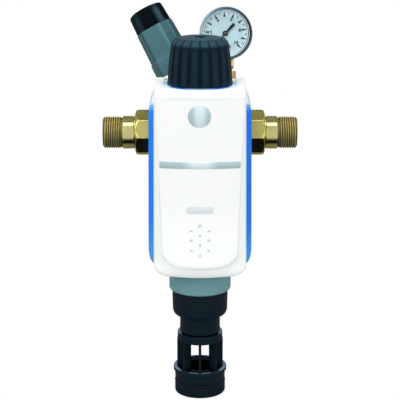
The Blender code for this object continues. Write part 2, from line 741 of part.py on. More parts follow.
obj_from(lathe([
    (5.3, 58.9), (9.0, 58.9), (9.0, 97.6), (24.6, 97.6), (29.4, KNOB_Z), (KNOB_R, KNOB_Z), (KNOB_R, KNOB_Z + 0.9),
    (fluted(32.1, 0.7), KNOB_Z + 2.0), (fluted(31.2, 0.8), 76.0), (fluted(KNOB_SHOULDER_R, 0.8), KNOB_SHOULDER_Z), (fluted(25.6, 0.9), 103.6), (21.4, 105.2),
    (5.6, KNOB_TOP), (5.6, 101.3), (5.3, 101.3),
], 54, phase=1.0), "knob", DARK, FILTER)
obj_from(lathe([(0, 99.4), (2.4, 99.4), (2.4, 101.6), (5.2, 101.6), (5.2, 104.4), (4.6, 104.8), (flats(6, 5.2), 104.8), (flats(6, 5.2), 102.8), (0, 102.8)], 12), "knob_screw", BRASS, FILTER)
obj_from(lathe([(0, 98.9), (5.0, 98.9), (5.0, 59.0), (5.0, -34.0), (4.0, -36.0), (4.0, -98.0), (0, -98.0)], 16), "drive_spindle", STEEL, FILTER)
obj_from(lathe([(5.3, 50.0), (8.9, 50.0), (8.9, 53.6), (5.3, 53.6)], 24), "spindle_seal", RUBBER, FILTER)
obj_from(lathe([
    (4.4, -44.0), (8.6, -44.0), (8.6, -56.0), (7.2, -56.6), (7.2, -150.0), (5.6, -150.0), (5.6, -54.0), (4.4, -53.0),
], 16), "flush_tube", STEEL, FILTER)
obj_from(lathe([
    (7.6, -66.0), (23.2, -66.0), (23.2, -64.2), (21.6, -62.4), (21.6, -60.6), (23.2, -58.8), (23.2, -57.0), (7.6, -57.0),
], 24), "suction_ring", DARK, FILTER)

# ------------------------------------------------------------- pressure reducer

obj_from(lathe([
    (3.0, 4.2), (17.0, 4.2), (17.0, 0.4), (10.2, 0.0), (10.2, -30.0), (7.2, -30.0), (5.4, -28.0), (5.4, -6.0), (3.0, -4.0),
], 24), "reducer_body", BRASS, REDUCER)
obj_from(lathe([(2.9, 4.5), (16.8, 4.5), (16.8, 5.4), (15.6, 5.4), (14.2, 6.2), (12.8, 5.4), (2.9, 5.4)], 20), "reducer_diaphragm", RUBBER, REDUCER)


def soft_hex(half, corner=5.0):
    return flats(6, 2 * half, None, corner)


bonnet = lathe([
    (17.5, 0.0), (soft_hex(19.8), 0.0), (soft_hex(20.2), 0.6), (soft_hex(19.9), 14.4), (soft_hex(18.9), 15.2), (soft_hex(18.05), BONNET_LEN),
    (5.6, BONNET_LEN), (5.6, 45.2), (14.6, 45.2), (14.6, 8.0), (17.5, 7.4),
], 30)
for v in bonnet.verts:
    # the lower edge runs down towards the front
    if v.co.z < 1.0 and v.co.x > 0.0:
        v.co.z -= 0.14 * v.co.x
obj_from(bonnet, "reducer_bonnet", GREY, REDUCER)
obj_from(lathe([(0, -40.0), (2.5, -40.0), (2.5, 5.8), (10.6, 5.8), (11.4, 6.6), (11.4, 7.6), (0, 7.6)], 16), "valve_stem", STEEL, REDUCER)
obj_from(lathe([(2.9, -35.6), (7.6, -35.6), (7.6, -32.4), (2.9, -32.4)], 24), "valve_disc", RUBBER, REDUCER)
turns, steps = 4.5, 10
coil = []
for k in range(int(turns * steps) + 1):
    t = math.tau * k / steps
    coil.append(Vector((10.4 * math.cos(t), 10.4 * math.sin(t), 9.6 + (35.4 - 9.6) * k / (turns * steps))))
obj_from(sweep(coil, 1.3, 5), "reducer_spring", STEEL, REDUCER)
obj_from(lathe([(5.1, 37.2), (13.4, 37.2), (13.4, 39.4), (8.0, 41.4), (5.1, 41.4)], 24), "spring_plate", STEEL, REDUCER)
cap_hex = 18.0
obj_from(lathe([
    (0, 58.0), (5.0, 58.0), (5.0, BONNET_LEN + 0.3), (7.0, BONNET_LEN + 0.3), (7.0, 62.0), (14.2, 62.0), (14.2, BONNET_LEN + 0.3), (soft_hex(cap_hex, 9.0), BONNET_LEN + 0.3),
    (soft_hex(cap_hex - 0.9, 9.0), 66.8), (soft_hex(cap_hex - 2.4, 9.0), CAP_TOP - 0.8), (0, CAP_TOP + 0.8),
], 36), "reducer_cap", DARK, REDUCER)
obj_from(lathe([(0, 31.0), (4.7, 31.0), (4.7, 57.6), (0, 57.6)], 24), "adjusting_screw", BRASS, REDUCER)

# ------------------------------------------------------------- gauge

case = obj_from(lathe([
    (0, -18.5), (24.0, -18.5), (25.8, -17.0), (25.8, -2.2), (24.4, -2.2), (23.9, -16.0), (22.8, -16.8), (0, -16.8),
], 36), "gauge_case", TEAL, GAUGE)
own = GAUGE.inverted()
cut(case, cyl(7.4, -30.0, -18.0, 20), STEM)
obj_from(lathe([
    (24.3, 3.2), (23.4, 4.6), (26.0, 4.6), (GAUGE_R, 3.6), (GAUGE_R, -3.0), (26.1, -3.4), (26.1, -1.9), (24.3, -1.9),
][::-1], 36), "gauge_bezel", TEAL, GAUGE)
obj_from(lathe([(0, 1.2), (24.0, 1.2), (24.0, 2.9), (0, 2.9)], 36), "gauge_window", GLASS, GAUGE)
dial_at = GAUGE @ Matrix.Translation(Vector((-DIAL_LEFT, 0, 0)))
dial_frame = dial_at @ Matrix.Rotation(math.radians(DIAL_TURN), 4, "Z")
dial = obj_from(lathe([(0, -3.2), (23.3, -3.2), (23.3, -2.4), (0, -2.4)], 36), "gauge_dial", DIALFACE, dial_frame)
cut(dial, cyl(1.6, -6.0, 2.0, 12))
screw_at = (3.5 * math.cos(0) + 0.0, -13.6)
cut(dial, cyl(0.9, -6.0, 2.0, 10), Matrix.Translation(Vector((screw_at[0], screw_at[1], 0))))
obj_from(lathe([(0, -5.0), (0.75, -5.0), (0.75, -2.2), (1.3, -2.2), (1.2, -1.6), (0, -1.4)], 12), "dial_screw", BRASS, dial_frame @ Matrix.Translation(Vector((screw_at[0], screw_at[1], 0))))
movement = obj_from(box_bm((-7.0, -9.5, -13.0), (7.0, 9.0, -6.0)), "gauge_movement", BRASS, dial_at)
cut(movement, cyl(1.1, -9.0, -4.0, 12))
tube = []
for k in range(17):
    t = math.radians(-72.0 + 250.0 * k / 16)
    tube.append(Vector((16.5 * math.cos(t), 16.5 * math.sin(t), -10.0)))
obj_from(sweep(tube, 2.4, 6), "bourdon_tube", BRASS, GAUGE)
sq = flats(4, 14.0, 9.2)
obj_from(lathe([
    (0, -20.0), (4.4, -20.0), (4.4, -25.0), (7.0, -25.0), (7.0, -25.6), (sq, -26.0), (sq, -33.9), (flats(4, 14.0, 7.1), -35.5), (6.0, -35.9), (6.0, -49.0), (0, -49.0),
], 16), "gauge_stem", BRASS, GAUGE @ STEM)
obj_from(lathe([(2.4, -50.9), (6.1, -50.9), (6.1, -49.4), (2.4, -49.4)], 20), "gauge_seal", RUBBER, GAUGE @ STEM)

# the pointer is drawn along local x and turned to its reading
point_frame = dial_at @ Matrix.Rotation(math.radians(POINTER_ANGLE), 4, "Z")
blade = [(-7.5, -0.55), (0.0, -0.6), (2.0, -0.85), (13.0, -1.2), (13.0, 1.2), (2.0, 0.85), (0.0, 0.6), (-7.5, 0.55)]
pointer = obj_from(prism(blade, -1.3, -0.8), "gauge_pointer", DARK, point_frame)
add(pointer, cyl(2.7, -1.5, -0.4, 20))
cut(pointer, cyl(1.15, -3.0, 2.0, 12))
obj_from(lathe([(0, -8.0), (0.9, -8.0), (0.9, 0.1), (0, 0.3)], 12), "pointer_arbor", BRASS, point_frame)

for ob in bpy.data.objects:
    if ob.type != "MESH":
        continue
    mesh = ob.data
    if ob.name in CUT:
        tidy(ob)
    mesh.transform(Matrix.Scale(MM, 4))
    ob.location = ob.location * MM
    mesh.shade_smooth()
    mesh.set_sharp_from_angle(angle=math.radians(32.0))
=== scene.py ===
"""Looks for the water filter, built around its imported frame.

Geometry is worked out in millimetres in the row frame and turned to metres at the end.
"""

import math

import bmesh
import bpy
from mathutils import Matrix, Vector


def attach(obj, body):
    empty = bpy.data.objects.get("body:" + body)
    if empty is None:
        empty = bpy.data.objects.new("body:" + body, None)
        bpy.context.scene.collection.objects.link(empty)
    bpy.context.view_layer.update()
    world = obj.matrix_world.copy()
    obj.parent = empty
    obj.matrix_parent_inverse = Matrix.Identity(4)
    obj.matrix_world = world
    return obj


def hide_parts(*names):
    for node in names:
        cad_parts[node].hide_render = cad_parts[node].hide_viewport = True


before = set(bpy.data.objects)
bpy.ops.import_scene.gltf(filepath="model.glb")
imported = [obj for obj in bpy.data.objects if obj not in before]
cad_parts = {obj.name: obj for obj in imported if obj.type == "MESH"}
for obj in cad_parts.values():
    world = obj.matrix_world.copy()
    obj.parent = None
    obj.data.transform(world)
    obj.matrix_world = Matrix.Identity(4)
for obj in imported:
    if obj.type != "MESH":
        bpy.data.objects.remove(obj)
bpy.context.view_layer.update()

MM = 0.001
FILTER_Y = -45.0
R = math.radians

# ------------------------------------------------------------------ colours


def lin(r, g, b):
    """Linear colour from eight-bit display values."""
    out = []
    for c in (r, g, b):
        c /= 255.0
        out.append(c / 12.92 if c <= 0.04045 else ((c + 0.055) / 1.055) ** 2.4)
    return tuple(out)


def scaled(colour, f):
    return tuple(min(max(c * f, 0.0), 1.0) for c in colour)


# ---------------------------------------------------------------- materials

CACHE = {}


class Tree:
    """Small helper for building a node tree left to right."""

    def __init__(self, name):
        self.mat = bpy.data.materials.new(name)
        self.mat.use_nodes = True
        self.nodes = self.mat.node_tree.nodes
        self.links = self.mat.node_tree.links
        self.shader = self.nodes["Principled BSDF"]

    def node(self, kind, **sets):
        n = self.nodes.new(kind)
        for k, v in sets.items():
            if k.startswith("in_"):
                n.inputs[k[3:].replace("_", " ")].default_value = v
            else:
                setattr(n, k, v)
        return n

    def link(self, a, b):
        self.links.new(a, b)

    def coords(self):
        return self.node("ShaderNodeTexCoord").outputs["Object"]

    def noise(self, scale, detail=3.0, rough=0.5, stretch=None, vector=None, distortion=0.0):
        src = vector if vector is not None else self.coords()
        if stretch:
            m = self.node("ShaderNodeMapping")
            m.inputs["Scale"].default_value = stretch
            self.link(src, m.inputs["Vector"])
            src = m.outputs["Vector"]
        n = self.node("ShaderNodeTexNoise")
        n.inputs["Scale"].default_value = scale
        n.inputs["Detail"].default_value = detail
        n.inputs["Roughness"].default_value = rough
        n.inputs["Distortion"].default_value = distortion
        self.link(src, n.inputs["Vector"])
        return n.outputs["Fac"]

    def remap(self, value, lo, hi, a=0.0, b=1.0, smooth=False):
        n = self.node("ShaderNodeMapRange")
        n.interpolation_type = "SMOOTHSTEP" if smooth else "LINEAR"
        for key, v in (("From Min", lo), ("From Max", hi), ("To Min", a), ("To Max", b)):
            n.inputs[key].default_value = v
        self.link(value, n.inputs["Value"])
        return n.outputs["Result"]

    def math(self, op, a, b=None, clamp=False):
        n = self.node("ShaderNodeMath", operation=op, use_clamp=clamp)
        for i, v in enumerate((a, b)):
            if v is None:
                continue
            if isinstance(v, (int, float)):
                n.inputs[i].default_value = v
            else:
                self.link(v, n.inputs[i])
        return n.outputs["Value"]

    def mix(self, fac, a, b, mode="MIX"):
        n = self.node("ShaderNodeMix", data_type="RGBA", blend_type=mode)
        n.clamp_result = False
        for key, v in ((0, fac), (6, a), (7, b)):
            if isinstance(v, tuple):
                n.inputs[key].default_value = (*v, 1.0)
            elif isinstance(v, (int, float)):
                n.inputs[key].default_value = v
            else:
                self.link(v, n.inputs[key])
        return n.outputs[2]

    def xyz(self, src=None):
        n = self.node("ShaderNodeSeparateXYZ")
        self.link(src if src is not None else self.coords(), n.inputs[0])
        return n.outputs

    def bump(self, height, strength, distance, below=None):
        n = self.node("ShaderNodeBump")
        n.inputs["Strength"].default_value = strength
        n.inputs["Distance"].default_value = distance
        self.link(height, n.inputs["Height"])
        if below is not None:
            self.link(below, n.inputs["Normal"])
        self.link(n.outputs["Normal"], self.shader.inputs["Normal"])
        return n.outputs["Normal"]

    def colour(self, socket):
        self.link(socket, self.shader.inputs["Base Color"])

    def rough(self, socket):
        self.link(socket, self.shader.inputs["Roughness"])

    def fixed(self, **vals):
        for k, v in vals.items():
            self.shader.inputs[k.replace("_", " ")].default_value = v


def plastic(name, colour, rough=0.42, spec=0.10, grain=1400.0, depth=0.00003, strength=0.35, tint=0.10, coat=0.0, shading_colours=None, painted_top_light=None):
    """Moulded plastic: fine spark-eroded grain, slow colour drift, slight scuffing.

    The pair of shading colours is painted highlight where the mesh's painted shading value runs 0..1 and painted shade
    where it runs 0..-1; the top colour is light painted on faces looking up.
    """
    if name in CACHE:
        return CACHE[name]
    t = Tree(name)
    drift = t.noise(18.0, 2.0)
    fine = t.noise(grain, 2.0, 0.6)
    scuff = t.noise(240.0, 4.0, 0.65)
    low, high = scaled(colour, 1.0 - tint), scaled(colour, 1.0 + tint)
    base = t.mix(t.remap(drift, 0.35, 0.65), low, high)
    base = t.mix(t.remap(scuff, 0.60, 0.78, 0.0, 0.35), base, scaled(colour, 1.35))
    # painted highlight and painted shade from the mesh's shading attribute
    if shading_colours:
        att = t.node("ShaderNodeAttribute", attribute_name="painted_shading").outputs["Fac"]
        base = t.mix(t.remap(att, 0.0, 1.0, 0.0, 1.0), base, shading_colours[0])
        base = t.mix(t.remap(att, 0.0, -1.0, 0.0, 1.0), base, shading_colours[1])
    # painted light on faces looking up
    if painted_top_light:
        nz = t.xyz(t.node("ShaderNodeNewGeometry").outputs["Normal"])[2]
        base = t.mix(t.remap(nz, painted_top_light[1], painted_top_light[2], 0.0, 1.0, smooth=True), base, t.mix(t.remap(scuff, 0.4, 0.7), painted_top_light[0], scaled(painted_top_light[0], 1.2)))
    t.colour(base)
    t.rough(t.math("ADD", t.remap(fine, 0.3, 0.7, rough - 0.04, rough + 0.04), t.remap(scuff, 0.5, 0.8, 0.0, 0.06)))
    t.bump(fine, strength, depth)
    t.fixed(Specular_IOR_Level=spec)
    if coat:
        t.fixed(Coat_Weight=coat, Coat_Roughness=0.12)
    CACHE[name] = t.mat
    return t.mat


def metal(name, colour, rough=0.3, dark=0.75, stretch=(1, 1, 1), scale=900.0, strength=0.25, cast=False, spec=0.5, metallic=1.0, edge=None, under=None):
    """Metal with fine turning or brushing marks and slight tarnish; flats facing down can be painted darker as shade.
    """
    if name in CACHE:
        return CACHE[name]
    t = Tree(name)
    marks = t.noise(scale, 3.0, 0.6, stretch=stretch)
    tarnish = t.noise(90.0, 4.0, 0.6)
    speck = t.noise(700.0, 3.0, 0.7)
    base = t.mix(t.remap(tarnish, 0.35, 0.7, 0.0, 0.7), colour, scaled(colour, dark))
    base = t.mix(t.remap(marks, 0.35, 0.65, 0.0, 0.15), base, scaled(colour, 1.15))
    base = t.mix(t.remap(speck, 0.62, 0.75, 0.0, 0.16), base, scaled(colour, dark * 0.7))
    if under:
        # painted shade: the flats turned down towards the front are darkened
        nz = t.xyz(t.node("ShaderNodeNewGeometry").outputs["Normal"])[2]
        flat = t.math("MULTIPLY", t.remap(nz, -0.22, -0.32, 0.0, 1.0, smooth=True), t.remap(nz, under[1] - 0.1, under[1], 0.0, 1.0, smooth=True))
        base = t.mix(flat, base, under[0])
    t.colour(base)
    t.rough(t.math("ADD", t.remap(marks, 0.3, 0.7, rough - 0.05, rough + 0.07), t.remap(tarnish, 0.4, 0.8, 0.0, 0.08)))
    t.bump(t.noise(520.0, 4.0, 0.7) if cast else marks, strength, 0.00006 if cast else 0.00002)
    t.fixed(Metallic=metallic, Specular_IOR_Level=spec)
    if edge:
        t.fixed(Specular_Tint=(*edge, 1.0))
    CACHE[name] = t.mat
    return t.mat


def rubber(name, colour=(0.012, 0.013, 0.014), rough=0.62, spec=0.22):
    if name in CACHE:
        return CACHE[name]
    t = Tree(name)
    bloom = t.noise(60.0, 4.0, 0.6)
    fine = t.noise(1800.0, 2.0)
    base = t.mix(t.remap(bloom, 0.4, 0.75, 0.0, 0.7), colour, scaled(colour, 1.9))
    t.colour(base)
    t.rough(t.remap(bloom, 0.3, 0.7, rough - 0.06, rough + 0.08))
    t.bump(fine, 0.3, 0.00003)
    t.fixed(Specular_IOR_Level=spec)
    CACHE[name] = t.mat
    return t.mat


WHITE_PANEL = lin(249, 251, 250)
# the border's cooler grey is painted shade of its slope away from the front
RIM_WHITE_SHADED = lin(234, 242, 239)
DARK = lin(21, 36, 46)


def cover_white():
    """Satin white moulding: the raised panel is a clean white; the border round it is painted a cooler grey as shade of
    its slope, whitened near the bottom as painted light; the fold, the upper front and the dimples carry painted shade.
    """
    t = Tree("cover_white")
    att = t.node("ShaderNodeAttribute", attribute_name="panel")
    drift = t.noise(14.0, 2.0)
    fine = t.noise(1100.0, 2.0, 0.55)
    rim = t.mix(t.remap(drift, 0.35, 0.65), scaled(RIM_WHITE_SHADED, 0.985), scaled(RIM_WHITE_SHADED, 1.01))
    # painted light: the border whitens towards the bottom, offsetting its shade there
    low = t.remap(t.xyz()[2], -0.104, -0.120, 0.0, 1.0, smooth=True)
    rim = t.mix(low, rim, lin(250, 255, 253))
    xyz = t.xyz()
    panel = t.mix(t.remap(drift, 0.35, 0.65), scaled(WHITE_PANEL, 0.985), scaled(WHITE_PANEL, 1.0))
    # painted shade: the front of the panel greys towards the top
    front = t.remap(xyz[1], -0.080, -0.084)
    panel = t.mix(t.math("MULTIPLY", front, t.remap(xyz[2], -0.095, -0.045, 0.0, 1.0, smooth=True)), panel, lin(241, 244, 243))
    base = t.mix(att.outputs["Fac"], rim, panel)
    # painted shade on the fold from the top plate down to the front, and on a band just under the top edge
    nz = t.xyz(t.node("ShaderNodeNewGeometry").outputs["Normal"])[2]
    fold = t.math("MULTIPLY", t.remap(nz, 0.06, 0.34, 0.0, 1.0, smooth=True), t.remap(nz, 0.72, 0.94, 1.0, 0.0, smooth=True))
    rolled = t.math("MULTIPLY", t.math("MULTIPLY", front, t.remap(xyz[2], 0.050, 0.056, 0.0, 1.0, smooth=True)), t.remap(nz, 0.90, 0.99, 1.0, 0.0, smooth=True))
    base = t.mix(t.math("MAXIMUM", fold, rolled), base, lin(226, 231, 229))
    # painted shade on the downward-facing upper walls of the dimples
    inside = t.math("MULTIPLY", t.remap(xyz[2], -0.1085, -0.1080), t.remap(t.math("ABSOLUTE", xyz[0]), 0.0120, 0.0125, 1.0, 0.0))
    under = t.math("MULTIPLY", t.math("MULTIPLY", inside, t.remap(xyz[2], -0.0710, -0.0715)), t.remap(nz, -0.03, -0.20, 0.0, 1.0, smooth=True))
    t.colour(t.mix(under, base, lin(200, 215, 210)))
    t.rough(t.remap(fine, 0.3, 0.7, 0.34, 0.44))
    t.bump(fine, 0.18, 0.00002)
    t.fixed(Specular_IOR_Level=0.12)
    return t.mat


def housing_blue():
    """Blue moulding with painted light: lighter on its left, a painted pale sheen over the shoulders and on faces
    looking up, and paler towards cyan near the bottom.
    """
    t = Tree("housing_blue")
    xyz = t.xyz()
    # painted light: lighter on the left than on the right
    side = t.remap(xyz[0], -0.012, 0.012)
    blue = t.mix(side, lin(24, 130, 244), lin(4, 119, 240))
    # painted light: paler and towards cyan near the bottom
    low = t.mix(side, lin(82, 166, 240), lin(66, 164, 246))
    down = t.remap(xyz[2], -0.070, -0.125, 0.0, 1.0, smooth=True)
    blue = t.mix(down, blue, low)
    # painted sheen: a pale band and then near white over the shoulders, along a slanting line
    out = t.math("ABSOLUTE", xyz[0])
    line = t.math("ADD", t.math("MULTIPLY", out, 0.30), xyz[2])
    mid = t.remap(line, 0.0345 + 0.30 * 0.0503, 0.0415 + 0.30 * 0.0492, 0.0, 1.0)
    blue = t.mix(mid, blue, t.mix(side, lin(112, 190, 240), lin(96, 172, 226)))
    pale = t.remap(line, 0.0395 + 0.30 * 0.0495, 0.0460 + 0.30 * 0.0480, 0.0, 1.0, smooth=True)
    # painted light on faces looking up
    geo = t.node("ShaderNodeNewGeometry")
    nz = t.xyz(geo.outputs["Normal"])[2]
    top = t.remap(nz, 0.55, 0.85, 0.0, 0.85, smooth=True)
    drift = t.noise(25.0, 2.0)
    painted_sheen_blue = t.mix(t.remap(drift, 0.3, 0.7), lin(245, 254, 255), lin(248, 255, 255))
    fac = t.math("MAXIMUM", pale, top)
    t.colour(t.mix(fac, blue, painted_sheen_blue))
    fine = t.noise(1200.0, 2.0)
    t.rough(t.remap(fine, 0.3, 0.7, 0.30, 0.40))
    t.bump(fine, 0.18, 0.00002)
    t.fixed(Specular_IOR_Level=0.12)
    return t.mat


def silver(name, half=0.040):
    """Satin silver inlay with a painted sheen, brightest in its middle."""
    if name in CACHE:
        return CACHE[name]
    t = Tree(name)
    xyz = t.xyz()
    d = t.math("ABSOLUTE", xyz[0])
    # painted sheen: lighter towards the middle
    mid = t.remap(d, half * 0.12, half * 0.52, 1.0, 0.0, smooth=True)
    base = t.mix(mid, lin(176, 200, 205), lin(228, 243, 249))
    brush = t.noise(700.0, 3.0, 0.6, stretch=(0.06, 1.0, 1.0))
    base = t.mix(t.remap(brush, 0.3, 0.7, 0.0, 0.3), base, lin(196, 215, 220))
    t.colour(base)
    t.rough(t.remap(brush, 0.3, 0.7, 0.30, 0.42))
    t.bump(brush, 0.12, 0.00002)
    t.fixed(Metallic=0.25, Specular_IOR_Level=0.5)
    CACHE[name] = t.mat
    return t.mat


def brass(name, light=lin(214, 205, 138), rough=0.26, dark=0.78, scale=900.0, stretch=(0.25, 1, 1), strength=0.22, cast=False, under=None):
    return metal(name, light, rough, dark, stretch, scale, strength, cast, edge=(0.80, 0.70, 0.34), under=under)


def glass():
    if "window_glass" in CACHE:
        return CACHE["window_glass"]
    t = Tree("window_glass")
    smear = t.noise(55.0, 3.0)
    t.colour(t.mix(t.remap(smear, 0.3, 0.7), (0.80, 0.90, 0.93), (0.90, 0.96, 0.98)))
    t.rough(t.remap(smear, 0.3, 0.7, 0.06, 0.16))
    t.link(t.remap(smear, 0.3, 0.7, 0.004, 0.014), t.shader.inputs["Alpha"])
    t.fixed(Specular_IOR_Level=0.5)
    CACHE["window_glass"] = t.mat
    return t.mat


def printed(name, colour, rough=0.5):
    """Printed ink, slightly uneven."""
    if name in CACHE:
        return CACHE[name]
    t = Tree(name)
    n = t.noise(1500.0, 3.0)
    t.colour(t.mix(t.remap(n, 0.35, 0.7), colour, scaled(colour, 1.5)))
    t.rough(t.remap(n, 0.3, 0.7, rough - 0.05, rough + 0.05))
    t.fixed(Specular_IOR_Level=0.06)
    CACHE[name] = t.mat
    return t.mat


def dial_paint():
    t = Tree("dial_paint")
    drift = t.noise(40.0, 3.0)
    fine = t.noise(2400.0, 2.0)
    base = t.mix(t.remap(drift, 0.35, 0.65), lin(190, 220, 226), lin(196, 224, 230))
    # painted shade: darker towards the right
    base = t.mix(t.remap(t.xyz()[0], 0.006, 0.052), base, lin(176, 209, 214))
    # painted light: the plate is a little paler towards its edge, offsetting the shade of the well round it
    reach_out = t.node("ShaderNodeVectorMath", operation="DISTANCE")
    t.link(t.coords(), reach_out.inputs[0])
    reach_out.inputs[1].default_value = tuple(c * MM for c in DIAL.translation)
    edge = t.remap(reach_out.outputs["Value"], 0.0165, 0.0232, 0.0, 0.85)
    t.colour(t.mix(edge, base, lin(226, 246, 250)))
    t.rough(t.remap(fine, 0.3, 0.7, 0.45, 0.6))
    t.bump(fine, 0.2, 0.00001)
    t.fixed(Specular_IOR_Level=0.15)
    return t.mat


def woven(name):
    """Fine stainless wire cloth."""
    t = Tree(name)
    co = t.coords()
    waves = []
    for axis, s in (("Z", 9000.0), ("X", 9000.0)):
        w = t.node("ShaderNodeTexWave", wave_type="BANDS", bands_direction=axis)
        w.inputs["Scale"].default_value = s / 20.0
        w.inputs["Distortion"].default_value = 0.4
        t.link(co, w.inputs["Vector"])
        waves.append(w.outputs["Fac"])
    cloth = t.math("MAXIMUM", waves[0], waves[1])
    t.colour(t.mix(cloth, (0.12, 0.12, 0.13), (0.62, 0.63, 0.65)))
    t.rough(t.remap(cloth, 0.0, 1.0, 0.55, 0.25))
    t.bump(cloth, 0.6, 0.0001)
    t.fixed(Metallic=0.9)
    return t.mat


def clear_cup():
    t = Tree("cup_clear")
    n = t.noise(35.0, 3.0)
    t.colour(t.mix(t.remap(n, 0.3, 0.7), (0.82, 0.88, 0.92), (0.90, 0.94, 0.97)))
    t.rough(t.remap(n, 0.3, 0.7, 0.08, 0.16))
    t.fixed(Transmission_Weight=0.85, IOR=1.45)
    return t.mat


# -------------------------------------------------------------- mesh helpers


def lathe(profile, n=144, phase=0.0, angles=None):
    """Turn a profile of (radius or function of the angle, height); closed loop, or open with both ends on the axis."""
    bm = bmesh.new()
    ts = angles if angles is not None else [math.tau * i / n + R(phase) for i in range(n)]
    n = len(ts)
    rings = []
    for r, z in profile:
        if not callable(r) and r == 0.0:
            rings.append([bm.verts.new((0.0, 0.0, z))])
            continue
        rings.append([bm.verts.new(((r(t) if callable(r) else r) * math.cos(t), (r(t) if callable(r) else r) * math.sin(t), z)) for t in ts])
    closed = len(rings[0]) > 1
    pairs = list(zip(rings, rings[1:] + rings[:1])) if closed else list(zip(rings, rings[1:]))
    for a, b in pairs:
        if len(a) == 1 and len(b) == 1:
            continue
        for i in range(n):
            j = (i + 1) % n
            if len(a) == 1:
                bm.faces.new((a[0], b[i], b[j]))
            elif len(b) == 1:
                bm.faces.new((a[i], a[j], b[0]))
            else:
                bm.faces.new((a[i], a[j], b[j], b[i]))
    return bm


def soft(profile, rad=0.4, steps=3, closed=None):
    """Round the corners of a profile; points whose radius is a function, or on the axis, stay sharp."""
    if closed is None:
        closed = not (not callable(profile[0][0]) and profile[0][0] == 0.0)
    out = []
    n = len(profile)
    for i, p in enumerate(profile):
        if callable(p[0]) or (not closed and i in (0, n - 1)):
            out.append(p)
            continue
        a, b = profile[(i - 1) % n], profile[(i + 1) % n]
        if callable(a[0]) or callable(b[0]):
            out.append(p)
            continue
        pv, av, bv = (Vector((q[0], q[1])) for q in (p, a, b))
        la, lb = (av - pv).length, (bv - pv).length
        if la < 1e-6 or lb < 1e-6:
            out.append(p)
            continue
        d = min(rad, 0.4 * la, 0.4 * lb)
        s, e = pv + (av - pv) * (d / la), pv + (bv - pv) * (d / lb)
        for k in range(steps + 1):
            u = k / steps
            q = s * (1 - u) ** 2 + pv * (2 * u * (1 - u)) + e * u**2
            out.append((max(q.x, 0.0), q.y))
    return out


def poly_angles(count, spread, corner_steps=5, flat_steps=6, phase=0.0):
    """Angles for an outline of flats: dense at each corner."""
    out = []
    step = math.tau / count
    for k in range(count):
        mid = k * step
        lo, hi = mid - step / 2 + spread, mid + step / 2 - spread
        for i in range(flat_steps + 1):
            out.append(lo + (hi - lo) * i / flat_steps)
        for i in range(1, corner_steps):
            out.append(hi + 2 * spread * i / corner_steps)
    return [a + phase for a in out]


def flats(count, af, clip=None, corner=0.0):
    ap = af / 2.0
    half = math.pi / count

    def radius(t):
        phi = abs((t + half) % (2 * half) - half)
        r = ap / math.cos(phi)
        if corner:
            dc = (ap - corner) / math.cos(half)
            if phi > math.atan((ap - corner) * math.tan(half) / ap):
                d = half - phi
                r = dc * math.cos(d) + math.sqrt(max(corner**2 - (dc * math.sin(d)) ** 2, 0.0))
        return min(r, clip) if clip else r

    return radius


def box_bm(lo, hi):
    bm = bmesh.new()
    bmesh.ops.create_cube(bm, size=1.0)
    for v in bm.verts:
        for k in range(3):
            v.co[k] = lo[k] if v.co[k] < 0 else hi[k]
    return bm


def prism(points, lo, hi):
    bm = bmesh.new()
    low = [bm.verts.new((x, y, lo)) for x, y in points]
    top = [bm.verts.new((x, y, hi)) for x, y in points]
    bm.faces.new(low[::-1])
    bm.faces.new(top)
    for i in range(len(points)):
        j = (i + 1) % len(points)
        bm.faces.new((low[i], low[j], top[j], top[i]))
    return bm


def sweep(points, radius, sides):
    bm = bmesh.new()
    rings, normal = [], None
    for i, p in enumerate(points):
        a, b = points[max(i - 1, 0)], points[min(i + 1, len(points) - 1)]
        d = (b - a).normalized()
        if normal is None:
            normal = d.orthogonal().normalized()
        normal = (normal - d * normal.dot(d)).normalized()
        side = d.cross(normal)
        rings.append([bm.verts.new(p + radius * (math.cos(math.tau * k / sides) * normal + math.sin(math.tau * k / sides) * side)) for k in range(sides)])
    for a, b in zip(rings, rings[1:]):
        for k in range(sides):
            m = (k + 1) % sides
            bm.faces.new((a[k], a[m], b[m], b[k]))
    bm.faces.new(rings[0][::-1])
    bm.faces.new(rings[-1])
    return bm


def tube_of(rings, closed=True):
    """Skin of equal rings of points; closed joins the last to the first."""
    bm = bmesh.new()
    vs = [[bm.verts.new(p) for p in ring] for ring in rings]
    n = len(vs[0])
    for p, q in (list(zip(vs, vs[1:] + vs[:1])) if closed else list(zip(vs, vs[1:]))):
        for i in range(n):
            j = (i + 1) % n
            bm.faces.new((p[i], p[j], q[j], q[i]))
    if not closed:
        bm.faces.new(vs[0])
        bm.faces.new(vs[-1])
    return bm


def cyl(r, lo, hi, n=96, phase=1.3):
    return lathe([(0.0, lo), (r, lo), (r, hi), (0.0, hi)], n, phase)


def axis_frame(origin, z, x=None):
    z = Vector(z).normalized()
    x = Vector(x) if x is not None else z.orthogonal()
    x = (x - z * x.dot(z)).normalized()
    y = z.cross(x)
    m = Matrix((x, y, z)).transposed().to_4x4()
    m.translation = Vector(origin)
    return m


